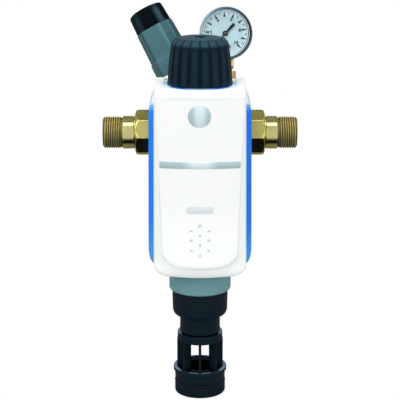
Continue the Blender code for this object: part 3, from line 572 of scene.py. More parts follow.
FILTER = Matrix.Translation(Vector((0.0, FILTER_Y, 0.0)))
FRONT = axis_frame((0, 0, 0), (0, -1, 0), (1, 0, 0))
_ax = Vector((-0.478, 0.204, 0.867)).normalized()
_near = Vector((0.0, -1.0, 0.0))
_near = (_near - _ax * _near.dot(_ax)).normalized()
_near = Matrix.Rotation(R(-8.0), 3, _ax) @ _near
REDUCER = axis_frame((-24.6, 12.0, 64.3), _ax, _near)
_gu, _gl = R(11.0), R(5.0)
_face = Vector((-math.sin(_gl) * math.cos(_gu), -math.cos(_gl) * math.cos(_gu), math.sin(_gu)))
_up = (Vector((0, 0, 1)) - _face * _face.z).normalized()
GAUGE = axis_frame((26.65, 10.0, 101.35), _face, _up.cross(_face))
DIAL_AT = GAUGE @ Matrix.Translation(Vector((-0.8, 0, 0)))
DIAL = DIAL_AT @ Matrix.Rotation(R(4.5), 4, "Z")
STEM = GAUGE @ axis_frame((0.35, 0, -11.0), (0, 1, 0), (1, 0, 0))


def piece(bm, name, mats, body, where=None, replaces=(), angle=32.0, bevel=None):
    """A finished piece from a bmesh in millimetres, placed by its frame, that rides on a body."""
    if where is not None:
        bmesh.ops.transform(bm, matrix=where, verts=bm.verts)
    bmesh.ops.recalc_face_normals(bm, faces=bm.faces)
    mesh = bpy.data.meshes.new(name)
    bm.to_mesh(mesh)
    bm.free()
    ob = bpy.data.objects.new(name, mesh)
    bpy.context.scene.collection.objects.link(ob)
    return settle(ob, mats, body, replaces, angle, bevel)


def settle(ob, mats, body, replaces=(), angle=32.0, bevel=None):
    mesh = ob.data
    for m in mats if isinstance(mats, (list, tuple)) else [mats]:
        mesh.materials.append(m)
    mesh.transform(Matrix.Scale(MM, 4))
    mesh.shade_smooth()
    mesh.set_sharp_from_angle(angle=R(angle))
    if bevel:
        mod = ob.modifiers.new("edge", "BEVEL")
        mod.width = bevel * MM
        mod.segments = 2
        mod.limit_method = "ANGLE"
        mod.angle_limit = R(38.0)
        mod.harden_normals = False
    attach(ob, body)
    if replaces:
        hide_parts(*replaces)
    return ob


def solid(bm, name="tmp", where=None):
    """A bare object in millimetres, for cutting."""
    if where is not None:
        bmesh.ops.transform(bm, matrix=where, verts=bm.verts)
    bmesh.ops.recalc_face_normals(bm, faces=bm.faces)
    mesh = bpy.data.meshes.new(name)
    bm.to_mesh(mesh)
    bm.free()
    ob = bpy.data.objects.new(name, mesh)
    bpy.context.scene.collection.objects.link(ob)
    return ob


def reach(mesh):
    return [f(v.co[i] for v in mesh.vertices) for i in range(3) for f in (min, max)]


def shape(ob, op, bm, where=None):
    """Boolean with a tool; a cut that would leave the piece larger is made again with the tool a hair aside."""
    before = reach(ob.data)
    tool = solid(bm, "tool", where)
    for nudge in (0.0, 0.013, -0.017, 0.029, -0.031):
        tool.location = (nudge, 0.7 * nudge, -0.6 * nudge)
        mod = ob.modifiers.new("bool", "BOOLEAN")
        mod.operation, mod.solver, mod.object = op, "EXACT", tool
        bpy.context.view_layer.update()
        result = bpy.data.meshes.new_from_object(ob.evaluated_get(bpy.context.evaluated_depsgraph_get()))
        ob.modifiers.clear()
        after = reach(result) if len(result.vertices) else before
        grown = any(after[2 * i] < before[2 * i] - 0.01 or after[2 * i + 1] > before[2 * i + 1] + 0.01 for i in range(3))
        if op != "DIFFERENCE" or not grown:
            break
        if nudge != -0.031:
            bpy.data.meshes.remove(result)
    old = ob.data
    ob.data = result
    bpy.data.meshes.remove(old)
    tool_mesh = tool.data
    bpy.data.objects.remove(tool, do_unlink=True)
    bpy.data.meshes.remove(tool_mesh)
    return ob


def cut(ob, bm, where=None):
    return shape(ob, "DIFFERENCE", bm, where)


def add(ob, bm, where=None):
    return shape(ob, "UNION", bm, where)


def mirrored(sign, turn):
    """Local z outwards along the pipe; local x towards the viewer, turned up."""
    return axis_frame((0, 0, 0), (sign, 0, 0), (0, -math.cos(R(turn)), math.sin(R(turn))))


# -------------------------------------------------------------------- cover


def cover_half(z):
    return 45.2 - 0.0081 * z


def border(z):
    """Distance of the raised panel's border from the cover's edge."""
    return max(1.3, 4.9 + (0.052 if z > -15.0 else 0.0425) * (-15.0 - z))


def sag_outline(top, bottom, half, rt, rb, sag, nt=8, nb=18, ns=30, ntop=10, nlow=14):
    """Closed outline in XZ from the top middle, round by the right; elliptic bottom corners, bottom edge sagging in the middle."""
    pts = []
    for k in range(ntop + 1):
        pts.append(((half(top) - rt) * k / ntop, top))
    cx, cz = half(top) - rt, top - rt
    for k in range(1, nt + 1):
        a = math.pi / 2 * (1 - k / nt)
        pts.append((cx + rt * math.cos(a), cz + rt * math.sin(a)))
    z0, z1 = top - rt, bottom + rb[1]
    for k in range(1, ns):
        z = z0 + (z1 - z0) * k / ns
        pts.append((half(z), z))
    cx, cz = half(z1) - rb[0], z1
    for k in range(nb + 1):
        a = -math.pi / 2 * k / nb
        pts.append((cx + rb[0] * math.cos(a), cz + rb[1] * math.sin(a)))
    for k in range(1, nlow + 1):
        f = 1 - k / nlow
        pts.append((cx * f, bottom - sag * (1 - f * f)))
    left = [(-x, z) for x, z in reversed(pts[1:-1])]
    return pts + left


OUTER = sag_outline(59.2, -127.9, cover_half, 2.4, (16.0, 13.0), 1.0)
PANEL = sag_outline(57.4, -117.2, lambda z: cover_half(z) - border(z), 2.0, (22.0, 17.0), 0.7)


def between(f):
    """Outline a share f of the way from the cover's edge to the panel's border."""
    return [(a[0] + (b[0] - a[0]) * f, a[1] + (b[1] - a[1]) * f) for a, b in zip(OUTER, PANEL)]


def inwards(pts, d):
    """Outline moved inwards by d, square to its own line."""
    out = []
    n = len(pts)
    for i in range(n):
        a, b = Vector(pts[i - 1]), Vector(pts[(i + 1) % n])
        t = (b - a).normalized()
        out.append((pts[i][0] + t.y * d, pts[i][1] - t.x * d))
    return out


def bulge(x, depth):
    return depth * (1.0 - min(abs(x) / 38.0, 1.0) ** 2)


def panel_y(x):
    return -93.4 - bulge(x, 4.6)


def dimples():
    out = [(0.0, z) for z in (-74.2, -84.3, -94.5, -105.0)]
    for z in (-79.3, -89.5, -99.8):
        out += [(-8.9, z), (8.9, z)]
    return out


def step_of(z):
    """The panel's edge stands full height low down and melts away towards the top."""
    u = min(max((z + 10.0) / 45.0, 0.0), 1.0)
    return 1.0 - 0.8 * u * u * (3 - 2 * u)


def build_cover():
    rings, marks = [], []

    def ring(pts, yfun, mark, drop=0.0):
        # the top edge rolls over into the front with a wide soft fold
        rings.append([(x, yfun(x, z), z - drop * min(max((z - 44.0) / 15.0, 0.0), 1.0)) for x, z in pts])
        marks.append(mark)

    ring(OUTER, lambda x, z: -9.0 if z > 56.85 else -74.0, 0.0)
    ring(OUTER, lambda x, z: -78.0, 0.0)
    def low(x, z, depth):
        # along the bottom the whole edge follows the panel's bulge
        return bulge(x, depth) if z < -60.0 else 0.0

    ring(OUTER, lambda x, z: -82.0 - low(x, z, 0.6), 0.0, 0.15)
    ring(OUTER, lambda x, z: -84.6 - low(x, z, 1.5), 0.0, 0.5)
    ring(OUTER, lambda x, z: -86.6 - low(x, z, 2.3), 0.0, 1.0)
    for d, y in ((0.12, -87.9), (0.45, -88.9), (0.95, -89.7), (1.7, -90.25)):
        ring(inwards(OUTER, d), lambda x, z, y=y: y - low(x, z, 2.8), 0.0, 1.0 + 0.8 * d)
    # the border's own surface, following the panel's bulge more and more
    for f, y, b in ((0.42, -90.9, 0.9), (0.60, -91.3, 1.7), (0.80, -91.7, 2.6), (0.93, -92.0, 3.2)):
        ring(between(f), lambda x, z, y=y, b=b: y - (low(x, z, 3.0 + 0.35 * b) or bulge(x, b)) - (1 - step_of(z)) * 1.0, 0.0, 2.4)
    ring(inwards(PANEL, -0.12), lambda x, z: -92.15 - (low(x, z, 4.2) or bulge(x, 3.4)) - (1 - step_of(z)) * 0.9, 0.0, 2.4)
    ring(inwards(PANEL, 0.10), lambda x, z: -92.8 - bulge(x, 4.3), 0.55, 2.4)
    ring(inwards(PANEL, 0.45), lambda x, z: -93.2 - bulge(x, 4.5), 1.0, 2.3)
    ring(inwards(PANEL, 1.1), lambda x, z: panel_y(x), 1.0, 2.2)
    zc = -30.0
    last = inwards(PANEL, 1.1)
    for k in range(1, 22):
        f = 1 - k / 22.0
        ring([(x * f, zc + (z - zc) * f) for x, z in last], lambda x, z: panel_y(x), 1.0, 2.2)
    bm = bmesh.new()
    lay = bm.verts.layers.float.new("panel")
    outer = []
    for pts, m in zip(rings, marks):
        row = []
        for p in pts:
            v = bm.verts.new(p)
            # towards the top the border's painted shade gives way to the panel's white
            u = min(max((p[2] + 5.0) / 50.0, 0.0), 1.0)
            share = 0.62 * u
            if p[2] > 40.0 and p[1] > -90.6:
                # the plate on top is white; the fold down to the front takes the border's cooler painted shade
                share = 0.15 if p[1] < -83.0 else (1.0 if p[2] > 55.0 else share)
            v[lay] = max(m, share)
            row.append(v)
        outer.append(row)
    inner = []
    for pts, y in ((inwards(OUTER, 2.2), None), (inwards(OUTER, 2.2), -87.0), (inwards(between(1.0), 0.0), -89.6)):
        row = []
        for x, z in pts:
            yy = (-9.0 if z > 54.6 else -74.0) if y is None else (y if y > -88 else y - bulge(x, 4.6))
            v = bm.verts.new((x, yy, z))
            v[lay] = 0.0
            row.append(v)
        inner.append(row)
    order = outer[::-1] + inner
    n = len(order[0])
    for p, q in zip(order, order[1:]):
        for i in range(n):
            j = (i + 1) % n
            bm.faces.new((p[i], p[j], q[j], q[i]))
    for r, y in ((outer[-1], panel_y(0.0)), (inner[-1], -89.6 - 4.6)):
        mid = bm.verts.new((0.0, y, zc))
        mid[lay] = 1.0
        for i in range(n):
            bm.faces.new((r[i], r[(i + 1) % n], mid))
    ob = solid(bm, "cover_shell")
    slot = [(36.2 * math.cos(R(t)), FILTER_Y + 36.2 * math.sin(R(t))) for t in [180 + 2.0 * k for k in range(91)]]
    slot += [(36.2, 5.0), (-36.2, 5.0)]
    cut(ob, prism(slot, 40.0, 70.0))
    cut(ob, cyl(33.0, -140.0, -120.0, 120), FILTER)
    # the dimples: shallow spherical dents in the panel
    for x, z in dimples():
        r, deep = 1.95, 0.45
        sphere = (r * r + deep * deep) / (2 * deep)
        prof = [(0.0, -sphere)]
        for k in range(1, 12):
            a = math.pi * k / 12
            prof.append((sphere * math.sin(a), -sphere * math.cos(a)))
        prof.append((0.0, sphere))
        at = axis_frame((x, panel_y(x) - (sphere - deep), z), (0, -1, 0), (1, 0, 0))
        cut(ob, lathe(prof, 32, 2.0), at)
    return settle(ob, [cover_white()], "cover", ["front_cover"], 25.0)


def inlay(outline, name, mat, node, rise, thick, lip=0.35):
    """A thin curved inlay with a rounded edge, proud of the panel by rise."""
    rings = []
    for d, dy in ((0.0, thick), (0.0, 0.12 * lip), (0.10 * lip, -0.45 * lip), (0.35 * lip, -0.8 * lip), (lip, -lip)):
        pts = inwards(outline, d)
        rings.append([(x, panel_y(x) + dy - rise + lip, z) for x, z in pts])
    bm = bmesh.new()
    vs = [[bm.verts.new(p) for p in ring] for ring in rings]
    n = len(vs[0])
    for p, q in zip(vs, vs[1:]):
        for i in range(n):
            j = (i + 1) % n
            bm.faces.new((p[i], p[j], q[j], q[i]))
    m = n // 2
    for r in (vs[0], vs[-1]):
        for i in range(m - 1):
            bm.faces.new((r[i], r[i + 1], r[n - 2 - i], r[n - 1 - i]))
    return piece(bm, name, mat, "cover", None, [node], 40.0)


def bar_outline(x0, x1, z0, z1, n, r):
    """Rounded bar as two runs of equal count, top left to right and back along the bottom."""
    top = []
    for k in range(n + 1):
        u = k / n
        x = x0 + (x1 - x0) * (0.5 - 0.5 * math.cos(math.pi * u)) if n > 30 else x0 + (x1 - x0) * u
        d = min(x - x0, x1 - x)
        dz = r - math.sqrt(max(r * r - (r - d) ** 2, 0.0)) if d < r else 0.0
        top.append((x, z1 - min(dz, (z1 - z0) / 2 - 0.05)))
    low = [(x, z0 + (z1 - z)) for x, z in reversed(top)]
    return top + low


def disc_outline(cx, cz, r, n):
    half = [(cx - r * math.cos(math.pi * (k + 0.5) / n), cz + r * math.sin(math.pi * (k + 0.5) / n)) for k in range(n)]
    return half + [(x, 2 * cz - z) for x, z in reversed(half)]


build_cover()
inlay(bar_outline(-39.6, 39.6, -15.4, -8.4, 80, 0.9), "trim_strip_inlay", silver("strip_silver"), "trim_strip", 0.25, 1.4, 0.3)
inlay(disc_outline(-0.5, 36.6, 11.3, 48), "cover_badge_disc", silver("badge_silver", 0.016), "cover_badge", 0.15, 1.4, 0.3)
inlay(bar_outline(-13.1, 13.1, -60.6, -52.8, 40, 1.4), "name_plate_inlay", plastic("plate_white", lin(214, 224, 226), 0.34, 0.35, tint=0.02), "name_plate", 0.08, 1.3, 0.2)


# ------------------------------------------------------------------ housing


def smooth_line(points, per):
    """Points along a Catmull-Rom line through the given ones."""
    out = []
    for i in range(len(points) - 1):
        p0 = Vector(points[max(i - 1, 0)])
        p1, p2 = Vector(points[i]), Vector(points[i + 1])
        p3 = Vector(points[min(i + 2, len(points) - 1)])
        for k in range(per):
            t = k / per
            q = 0.5 * ((2 * p1) + (p2 - p0) * t + (2 * p0 - 5 * p1 + 4 * p2 - p3) * t * t + (3 * p1 - p0 - 3 * p2 + p3) * t**3)
            out.append((q.x, q.y))
    out.append(tuple(points[-1]))
    return out


def housing_outline(inset, cap=None):
    top, low = 56.2, -124.6
    right = [(40.0, 56.2), (43.4, 55.4), (45.3, 51.4), (47.2, 45.8), (49.2, 41.0), (50.8, 32.8), (51.15, 8.0), (51.4, -20.0), (51.65, -50.0), (51.9, -80.0), (52.05, -104.0),
             (51.9, low + 15.0), (50.8, low + 8.4), (49.4, low + 5.2), (46.9, low + 2.0), (42.0, low + 0.4)]
    right = smooth_line(right, 6)
    pts = [(40.0 * k / 8.0, top) for k in range(8)] + right + [(42.0 * (1 - k / 8.0), low + 0.1 * 0) for k in range(1, 9)]
    pts = [(x, z) for x, z in pts]
    left = [(-x, z) for x, z in reversed(pts[1:-1])]
    whole = inwards(pts + left, inset)
    if cap is not None:
        whole = [(x, min(z, cap - inset)) for x, z in whole]
    return whole


def shell(sections):
    return tube_of([[(x, y, z) for x, z in pts] for pts, y in sections])


W = 2.2
H = housing_outline
BLUE = housing_blue()
ob = solid(shell([
    (H(0.35), 1.0), (H(0.05), 0.7), (H(0.0), 0.2), (H(0.0), -30.0), (H(0.0), -61.0), (H(0.15), -62.2), (H(0.6), -63.4), (H(5.4), -72.6), (H(5.9), -73.3), (H(8.7), -73.6), (H(8.7), -78.0),
    (H(8.7 + W), -78.0), (H(8.7 + W), -71.8), (H(W), -60.5), (H(W), 1.0),
]))
for sx in (-1, 1):
    cut(ob, cyl(25.6, 40.0, 60.0, 96), mirrored(sx, 0.0))
cut(ob, cyl(16.4, 45.0, 60.0), FILTER)
cut(ob, cyl(32.7, -130.0, -110.0), FILTER)
cut(ob, cyl(15.8, -50.0, 10.0), REDUCER)
cut(ob, cyl(11.0, -80.0, -30.0), STEM)
settle(ob, [BLUE], "body", ["side_housing"], 34.0)


def collar_blue():
    """The collar round the hand wheel: deep blue towards the front with a painted highlight at its middle, and a
    painted pale sheen at the sides.
    """
    t = Tree("collar_blue")
    xyz = t.xyz()
    d = t.math("ABSOLUTE", xyz[0])
    # painted highlight at the middle of the front, painted sheen towards the sides
    near = t.mix(t.remap(d, 0.0040, 0.0180, 0.55, 0.0, smooth=True), lin(4, 92, 184), lin(190, 216, 224))
    t.colour(t.mix(t.remap(d, 0.0270, 0.0335, 0.0, 1.0, smooth=True), near, lin(186, 228, 254)))
    fine = t.noise(1200.0, 2.0)
    t.rough(t.remap(fine, 0.3, 0.7, 0.24, 0.34))
    t.bump(fine, 0.15, 0.00002)
    return t.mat


piece(lathe([(32.4, 54.6), (32.6, 54.4), (35.5, 54.4), (35.7, 54.6), (35.7, 59.5), (35.55, 59.85), (35.2, 60.0), (33.5, 60.0), (33.2, 59.9), (33.05, 59.6), (32.4, 59.5)], 180), "knob_collar", collar_blue(), "body", FILTER, ())

BLACK = plastic("black_plastic", lin(17, 31, 41), 0.42, 0.06)
EDGE_LINE = sorted((z, x) for x, z in H(0.0) if x > 30.0 and z > 8.0)


def housing_half(z):
    """Half width of the housing at a height, for the upper part."""
    for (z0, x0), (z1, x1) in zip(EDGE_LINE, EDGE_LINE[1:]):
        if z0 <= z <= z1:
            return x0 + (x1 - x0) * (z - z0) / max(z1 - z0, 1e-6)
    return EDGE_LINE[-1][1] if z > EDGE_LINE[-1][0] else 99.0


def tucked(x, y, z, keep):
    """Draw a point of the rear cover in, so that it narrows towards the back under the shoulders."""
    if z < 12.0:
        return (x, y, z)
    most = housing_half(z + 0.29 * y + 0.4) - keep
    return (math.copysign(min(abs(x), most), x), y, z)


ob = solid(tube_of([[tucked(x, y, z, 0.5) for x, z in pts] for pts, y in [
    (H(0.3 + W, 47.0), 1.4), (H(0.6, 47.0), 1.4), (H(0.3, 47.0), 1.9), (H(0.3, 47.0), 29.6), (H(0.6, 47.0), 31.4), (H(1.5, 47.0), 33.0), (H(3.0, 47.0), 34.1), (H(4.8, 47.0), 34.6),
]] , closed=False))
cut(ob, tube_of([[tucked(x, y, z, 2.7) for x, z in pts] for pts, y in [(H(0.3 + W, 47.0), 0.0), (H(0.3 + W, 47.0), 29.4), (H(4.6 + W, 47.0), 32.4)]], closed=False))
for sx in (-1, 1):
    cut(ob, cyl(25.6, 40.0, 60.0, 96), mirrored(sx, 0.0))
cut(ob, cyl(16.2, -40.0, 10.0), REDUCER)
cut(ob, cyl(11.0, -80.0, -30.0), STEM)
settle(ob, [BLACK], "body", ["rear_cover"], 34.0)

# ----------------------------------------------------------------- pipe run

# the extra colour of each brass is painted shade on its flats turned down towards the front
NUT = brass("nut_brass", lin(209, 200, 119), 0.28, 0.90, 700.0, (1, 1, 1), 0.06, cast=True, under=(lin(160, 112, 58), -0.76))
TURNED = brass("turned_brass", lin(218, 212, 142), 0.28, 0.88, 1500.0, (1.6, 0.12, 0.12), 0.12, under=(lin(112, 104, 70), -0.56))


def thread_brass():
    """Cut thread: painted highlight on the crests, painted shade in the roots, fine marks along the cut."""
    t = Tree("thread_brass")
    xyz = t.xyz()
    r = t.math("SQRT", t.math("ADD", t.math("MULTIPLY", xyz[1], xyz[1]), t.math("MULTIPLY", xyz[2], xyz[2])))
    # painted highlight on the crests, painted shade in the roots
    painted_crest_light = t.remap(r, 0.01545, 0.01645, 0.0, 1.0)
    marks = t.noise(1500.0, 3.0, 0.6, stretch=(1.6, 0.3, 0.3))
    tarnish = t.noise(120.0, 4.0, 0.6)
    base = t.mix(painted_crest_light, lin(114, 101, 60), lin(208, 196, 126))
    base = t.mix(t.remap(tarnish, 0.35, 0.7, 0.0, 0.25), base, t.mix(painted_crest_light, lin(92, 80, 46), lin(186, 171, 106)))
    t.colour(base)
    t.rough(t.remap(marks, 0.3, 0.7, 0.52, 0.62))
    t.bump(marks, 0.06, 0.00002)
    t.fixed(Metallic=0.8, Specular_Tint=(0.80, 0.70, 0.34, 1.0))
    return t.mat


THREAD = thread_brass()

for word, sign in (("inlet", -1), ("outlet", 1)):
    angles = poly_angles(8, R(1.1), 5, 8)
    o = flats(8, 44.5, None, 0.45)

    def clip(c):
        return lambda t: min(o(t), c)

    prof = [(17.1, 63.9), (17.1, 66.8 - 0.4), (17.5, 66.8), (18.6, 66.8), (20.4, 66.5), (21.2, 66.05)]
    prof += [(clip(22.4), 65.7), (clip(22.9), 65.3), (clip(23.3), 64.8), (clip(23.6), 64.2), (clip(23.85), 63.5), (o, 62.8), (o, 55.0), (o, 49.0), (clip(23.7), 48.4), (clip(23.2), 47.5), (clip(22.7), 47.0), (20.25, 47.0), (20.25, 63.9)]
    piece(lathe(prof, angles=angles), f"{word}_nut", NUT, "body", mirrored(sign, 19.8), [f"{word}_union_nut"], 24.0)

    # tailpiece: collar, hexagon and a true helical thread
    h = flats(6, 31.6, None, 0.35)

    def hclip(c):
        return lambda t: min(h(t), c)

    angles6 = poly_angles(6, R(1.4), 5, 9)
    prof = [(12.8, 60.9), (19.6, 60.9), (19.6, 63.6), (16.7, 63.6), (16.7, 67.3), (15.4, 67.5), (hclip(16.2), 67.8), (hclip(16.9), 68.4), (hclip(16.9), 78.9), (hclip(16.3), 79.5), (15.4, 79.9), (15.2, 80.3), (12.8, 80.3)]
    piece(lathe(prof, angles=angles6), f"{word}_tail_hex", TURNED, "body", mirrored(sign, 8.0), [f"{word}_tailpiece"], 24.0)
    n, per, pitch = 72, 10, 2.309
    x0, x1 = 80.0, 100.0
    rings = []
    steps = int((x1 - x0) / pitch * per)
    for k in range(steps + 1):
        x = x0 + (x1 - x0) * k / steps
        ring = []
        for i in range(n):
            t = math.tau * i / n
            u = ((x - x0) / pitch - sign * t / math.tau) % 1.0
            tooth = 1.0 - abs(2 * u - 1.0)
            tooth = min(max((tooth - 0.10) / 0.78, 0.0), 1.0)
            fade = min(max((x - 80.9) / 1.6, 0.0), 1.0) * min(max((99.5 - x) / 1.5, 0.0), 1.0)
            root = 15.30 - 0.9 * min(max((x - 98.9) / 1.1, 0.0), 1.0)
            r = root + (16.6 - 15.30) * tooth * fade
            ring.append((r * math.cos(t), r * math.sin(t), x))
        rings.append(ring)
    inner = [[(12.8 * math.cos(math.tau * i / n), 12.8 * math.sin(math.tau * i / n), z) for i in range(n)] for z in (99.5, 90.0, 80.0)]
    lip = [[(13.3 * math.cos(math.tau * i / n), 13.3 * math.sin(math.tau * i / n), 100.0) for i in range(n)]]
    th = piece(tube_of(rings + lip + inner), f"{word}_tail_thread", THREAD, "body", mirrored(sign, 8.0), (), 50.0)


# --------------------------------------------------------------------- knob

# the two shading colours: painted highlight and painted shade
KNOB = plastic("knob_plastic", lin(12, 28, 40), 0.38, 0.03, tint=0.08, shading_colours=(lin(58, 92, 104), lin(4, 10, 15)))


def ribbed(r, depth, soft_edge=0.07, share=0.72):
    def radius(t):
        u = ((t - R(-90.0 + 2.3)) * 18 / math.tau) % 1.0
        # flat-topped rib with rounded flanks
        e = soft_edge
        up = min(max(u / e, 0.0), 1.0)
        dn = min(max((share + e - u) / e, 0.0), 1.0)
        s = up * up * (3 - 2 * up) * (dn * dn * (3 - 2 * dn))
        v = (u - share / 2 - e / 2) / (share / 2 + e)
        crown = 0.10 * (1 - min(v * v, 1.0)) if u < share + e else 0.0
        return r - depth * (1.0 - s) - 0.10 + crown

    return radius


prof = [(5.4, 58.9), (9.0, 58.9), (9.0, 97.6), (24.6, 97.6), (29.3, 60.2), (29.6, 59.9), (32.2, 59.9), (32.5, 60.2), (32.5, 60.6), (32.3, 61.0)]
prof += [(ribbed(32.05, 0.35), 61.6), (ribbed(31.95, 0.65), 62.8)]
for z, r in ((66.0, 31.85), (70.0, 31.6), (74.0, 31.3), (78.0, 31.0), (82.0, 30.65), (86.0, 30.2), (90.0, 29.65), (94.0, 29.1), (97.6, 28.75)):
    prof.append((ribbed(r, 0.8), z))
prof += [(ribbed(28.65, 0.9), 98.6), (ribbed(28.4, 0.95), 99.6), (ribbed(27.9, 1.0), 100.7), (ribbed(27.1, 1.0), 101.9), (ribbed(26.1, 1.0), 103.0), (ribbed(25.0, 0.9), 103.9), (ribbed(23.8, 0.75), 104.5)]
prof += [(22.3, 104.75), (21.6, 105.1), (20.6, 105.25), (14.0, 105.5), (8.0, 105.68), (6.2, 105.75), (5.75, 105.6), (5.6, 105.2), (5.6, 101.3), (5.4, 101.3)]


def knob_tone(bm):
    """Painted shade in the slots and the screw recess; painted highlight on the rib crowns, the domed top and the
    chamfer.
    """
    lay = bm.verts.layers.float.new("painted_shading")
    for v in bm.verts:
        r, z = math.hypot(v.co.x, v.co.y), v.co.z
        u = ((math.atan2(v.co.y, v.co.x) - R(-90.0 + 2.3)) * 18 / math.tau) % 1.0
        slot = 1.0 if u > 0.775 else (0.45 if u > 0.73 else 0.0)
        rib = 0.10 * math.sin(math.pi * min(u / 0.75, 1.0))
        painted_shading = 0.0
        if z > 97.0 and r > 22.2:
            painted_shading = 0.50 * min(max((z - 98.0) / 2.8, 0.0), 1.0) * (1.0 - 0.72 * slot)
            painted_shading = painted_shading if r > 23.3 else 0.12
        elif z > 97.0 and r > 10.0:
            painted_shading = 0.56 if r < 21.0 else 0.72
        elif z > 105.4:
            painted_shading = 0.56
        elif z > 97.0 and r < 6.0:
            painted_shading = -0.9
        elif z > 61.0 and r > 27.0:
            painted_shading = rib - 0.55 * slot
        v[lay] = min(max(painted_shading, -1.0), 1.0)
    return bm


piece(knob_tone(lathe(prof, 18 * 24)), "hand_wheel", KNOB, "knob", FILTER, ["knob"], 50.0)
# brass darkened as painted shade of the recess it sits in
SCREW = brass("screw_brass", lin(112, 96, 60), 0.34, 0.7, 1200.0, (1, 1, 1), 0.2)
hexs = flats(6, 5.2)
piece(lathe([(0, 99.4), (2.4, 99.4), (2.4, 101.6), (5.0, 101.6), (5.25, 101.8), (5.25, 104.4), (5.0, 104.7), (4.5, 104.8), (3.3, 104.8), (hexs, 104.7), (hexs, 102.8), (0, 102.4)], 96), "hand_wheel_screw", SCREW, "knob", FILTER, ["knob_screw"], 30.0)


# ------------------------------------------------------------------ reducer

# the bonnet's shading colours: painted highlight and painted shade
BONNET = plastic("bonnet_grey", lin(74, 112, 120), 0.40, 0.04, tint=0.04, shading_colours=(lin(100, 144, 150), lin(42, 64, 72)))


def soft_hex(half, corner=5.0, ribs=0.0):
    base = flats(6, 2 * half, None, corner)

    def radius(t):
        r = base(t)
        if ribs:
            a = math.degrees(t) % 360.0
            for at in (69.5, 79.0, 84.0, 89.0, 94.0):
                d = abs(a - at) / 1.6
                if d < 1.0:
                    r += ribs * (1 - d * d)
        return r

    return radius


def toned(bm, painted_shading):
    """Store a painted shading value, highlight above zero and shade below, for every vertex, by its angle round the
    piece and its height.
    """
    lay = bm.verts.layers.float.new("painted_shading")
    for v in bm.verts:
        v[lay] = painted_shading(math.degrees(math.atan2(v.co.y, v.co.x)), v.co.z)
    return bm


def hump(a, at, wide):
    d = abs((a - at + 180.0) % 360.0 - 180.0) / wide
    return (1 - d * d) ** 2 if d < 1.0 else 0.0


def step_up(a, lo, hi):
    u = min(max((a - lo) / (hi - lo), 0.0), 1.0)
    return u * u * (3 - 2 * u)


# painted highlights along two corners; painted shade along the left corner, over the side facets and over the knurled
# strip
def bonnet_tone(a, z):
    t = 0.55 * hump(a, 31.0, 6.0) - 0.32 * step_up(a, 30.0, 37.0) * step_up(z, 14.0, 17.0)
    t += 0.60 * hump(a, 69.5, 3.0) - 0.40 * step_up(a, 72.0, 76.0) + 0.25 * step_up(a, 86.0, 92.0)
    t -= 0.62 * hump(a, -33.0, 8.0)
    t -= 0.28 * step_up(-a, 34.0, 44.0)
    return min(max(t, -1.0), 1.0)


prof = [(17.5, 0.2), (17.8, 0.0), (soft_hex(19.5), 0.0), (soft_hex(19.95), 0.25), (soft_hex(20.15), 0.8), (soft_hex(19.9), 14.0), (soft_hex(19.7), 14.5), (soft_hex(19.1), 15.0), (soft_hex(18.9, 5.0, 0.2), 15.6)]
for k in range(1, 8):
    f = k / 8.0
    prof.append((soft_hex(18.9 + (18.05 - 18.9) * f, 5.0, 0.4), 15.6 + (47.8 - 15.6) * f))
prof += [(soft_hex(18.0, 5.0, 0.2), 47.8), (soft_hex(17.6), 48.3), (5.6, 48.3), (5.6, 45.2), (14.6, 45.2), (14.6, 8.0), (17.5, 7.4)]
bm = toned(lathe(prof, 360), bonnet_tone)
for v in bm.verts:
    if v.co.z < 1.2 and v.co.x > 0.0:
        v.co.z -= 0.14 * v.co.x
piece(bm, "reducer_bonnet_body", BONNET, "body", REDUCER, ["reducer_bonnet"], 30.0)
# the cap's shading colours: painted highlight and painted shade
CAPM = plastic("cap_black", lin(7, 14, 20), 0.36, 0.012, tint=0.08, shading_colours=(lin(50, 74, 84), lin(1, 2, 4)))


# painted highlight bands, as from lamps to the left and right, fading towards the top; painted shade towards both edges
def cap_tone(a, z):
    fade = 1.0 - 0.75 * step_up(z, 62.0, 68.0)
    t = 0.42 * hump(a, -28.0, 17.0) * fade + 1.0 * hump(a, 50.0, 20.0) * fade
    t -= 0.6 * step_up(-a, 50.0, 66.0) + 0.6 * step_up(a, 76.0, 92.0)
    return min(max(t, -1.0), 1.0)


def cap_hex(half):
    return soft_hex(half, 9.0)


prof = [(0, 58.0), (5.0, 58.0), (5.0, 48.6), (7.0, 48.6), (7.0, 62.0), (14.2, 62.0), (14.2, 48.6), (cap_hex(17.7), 48.6), (cap_hex(18.0), 48.8), (cap_hex(18.0), 49.4)]
prof += [(cap_hex(17.75), 55.0), (cap_hex(17.45), 61.0), (cap_hex(17.15), 65.6), (cap_hex(16.85), 66.9), (cap_hex(16.3), 67.8), (cap_hex(15.4), 68.5), (cap_hex(13.4), 69.2), (cap_hex(10.0), 69.8), (cap_hex(5.0), 70.2), (0, 70.35)]
piece(toned(lathe(prof, 288), cap_tone), "reducer_adjusting_cap", CAPM, "reducer_cap", REDUCER, ["reducer_cap"], 40.0)

# -------------------------------------------------------------------- gauge

CASE = plastic("gauge_case_grey", lin(96, 122, 130), 0.35, 0.25, tint=0.05)
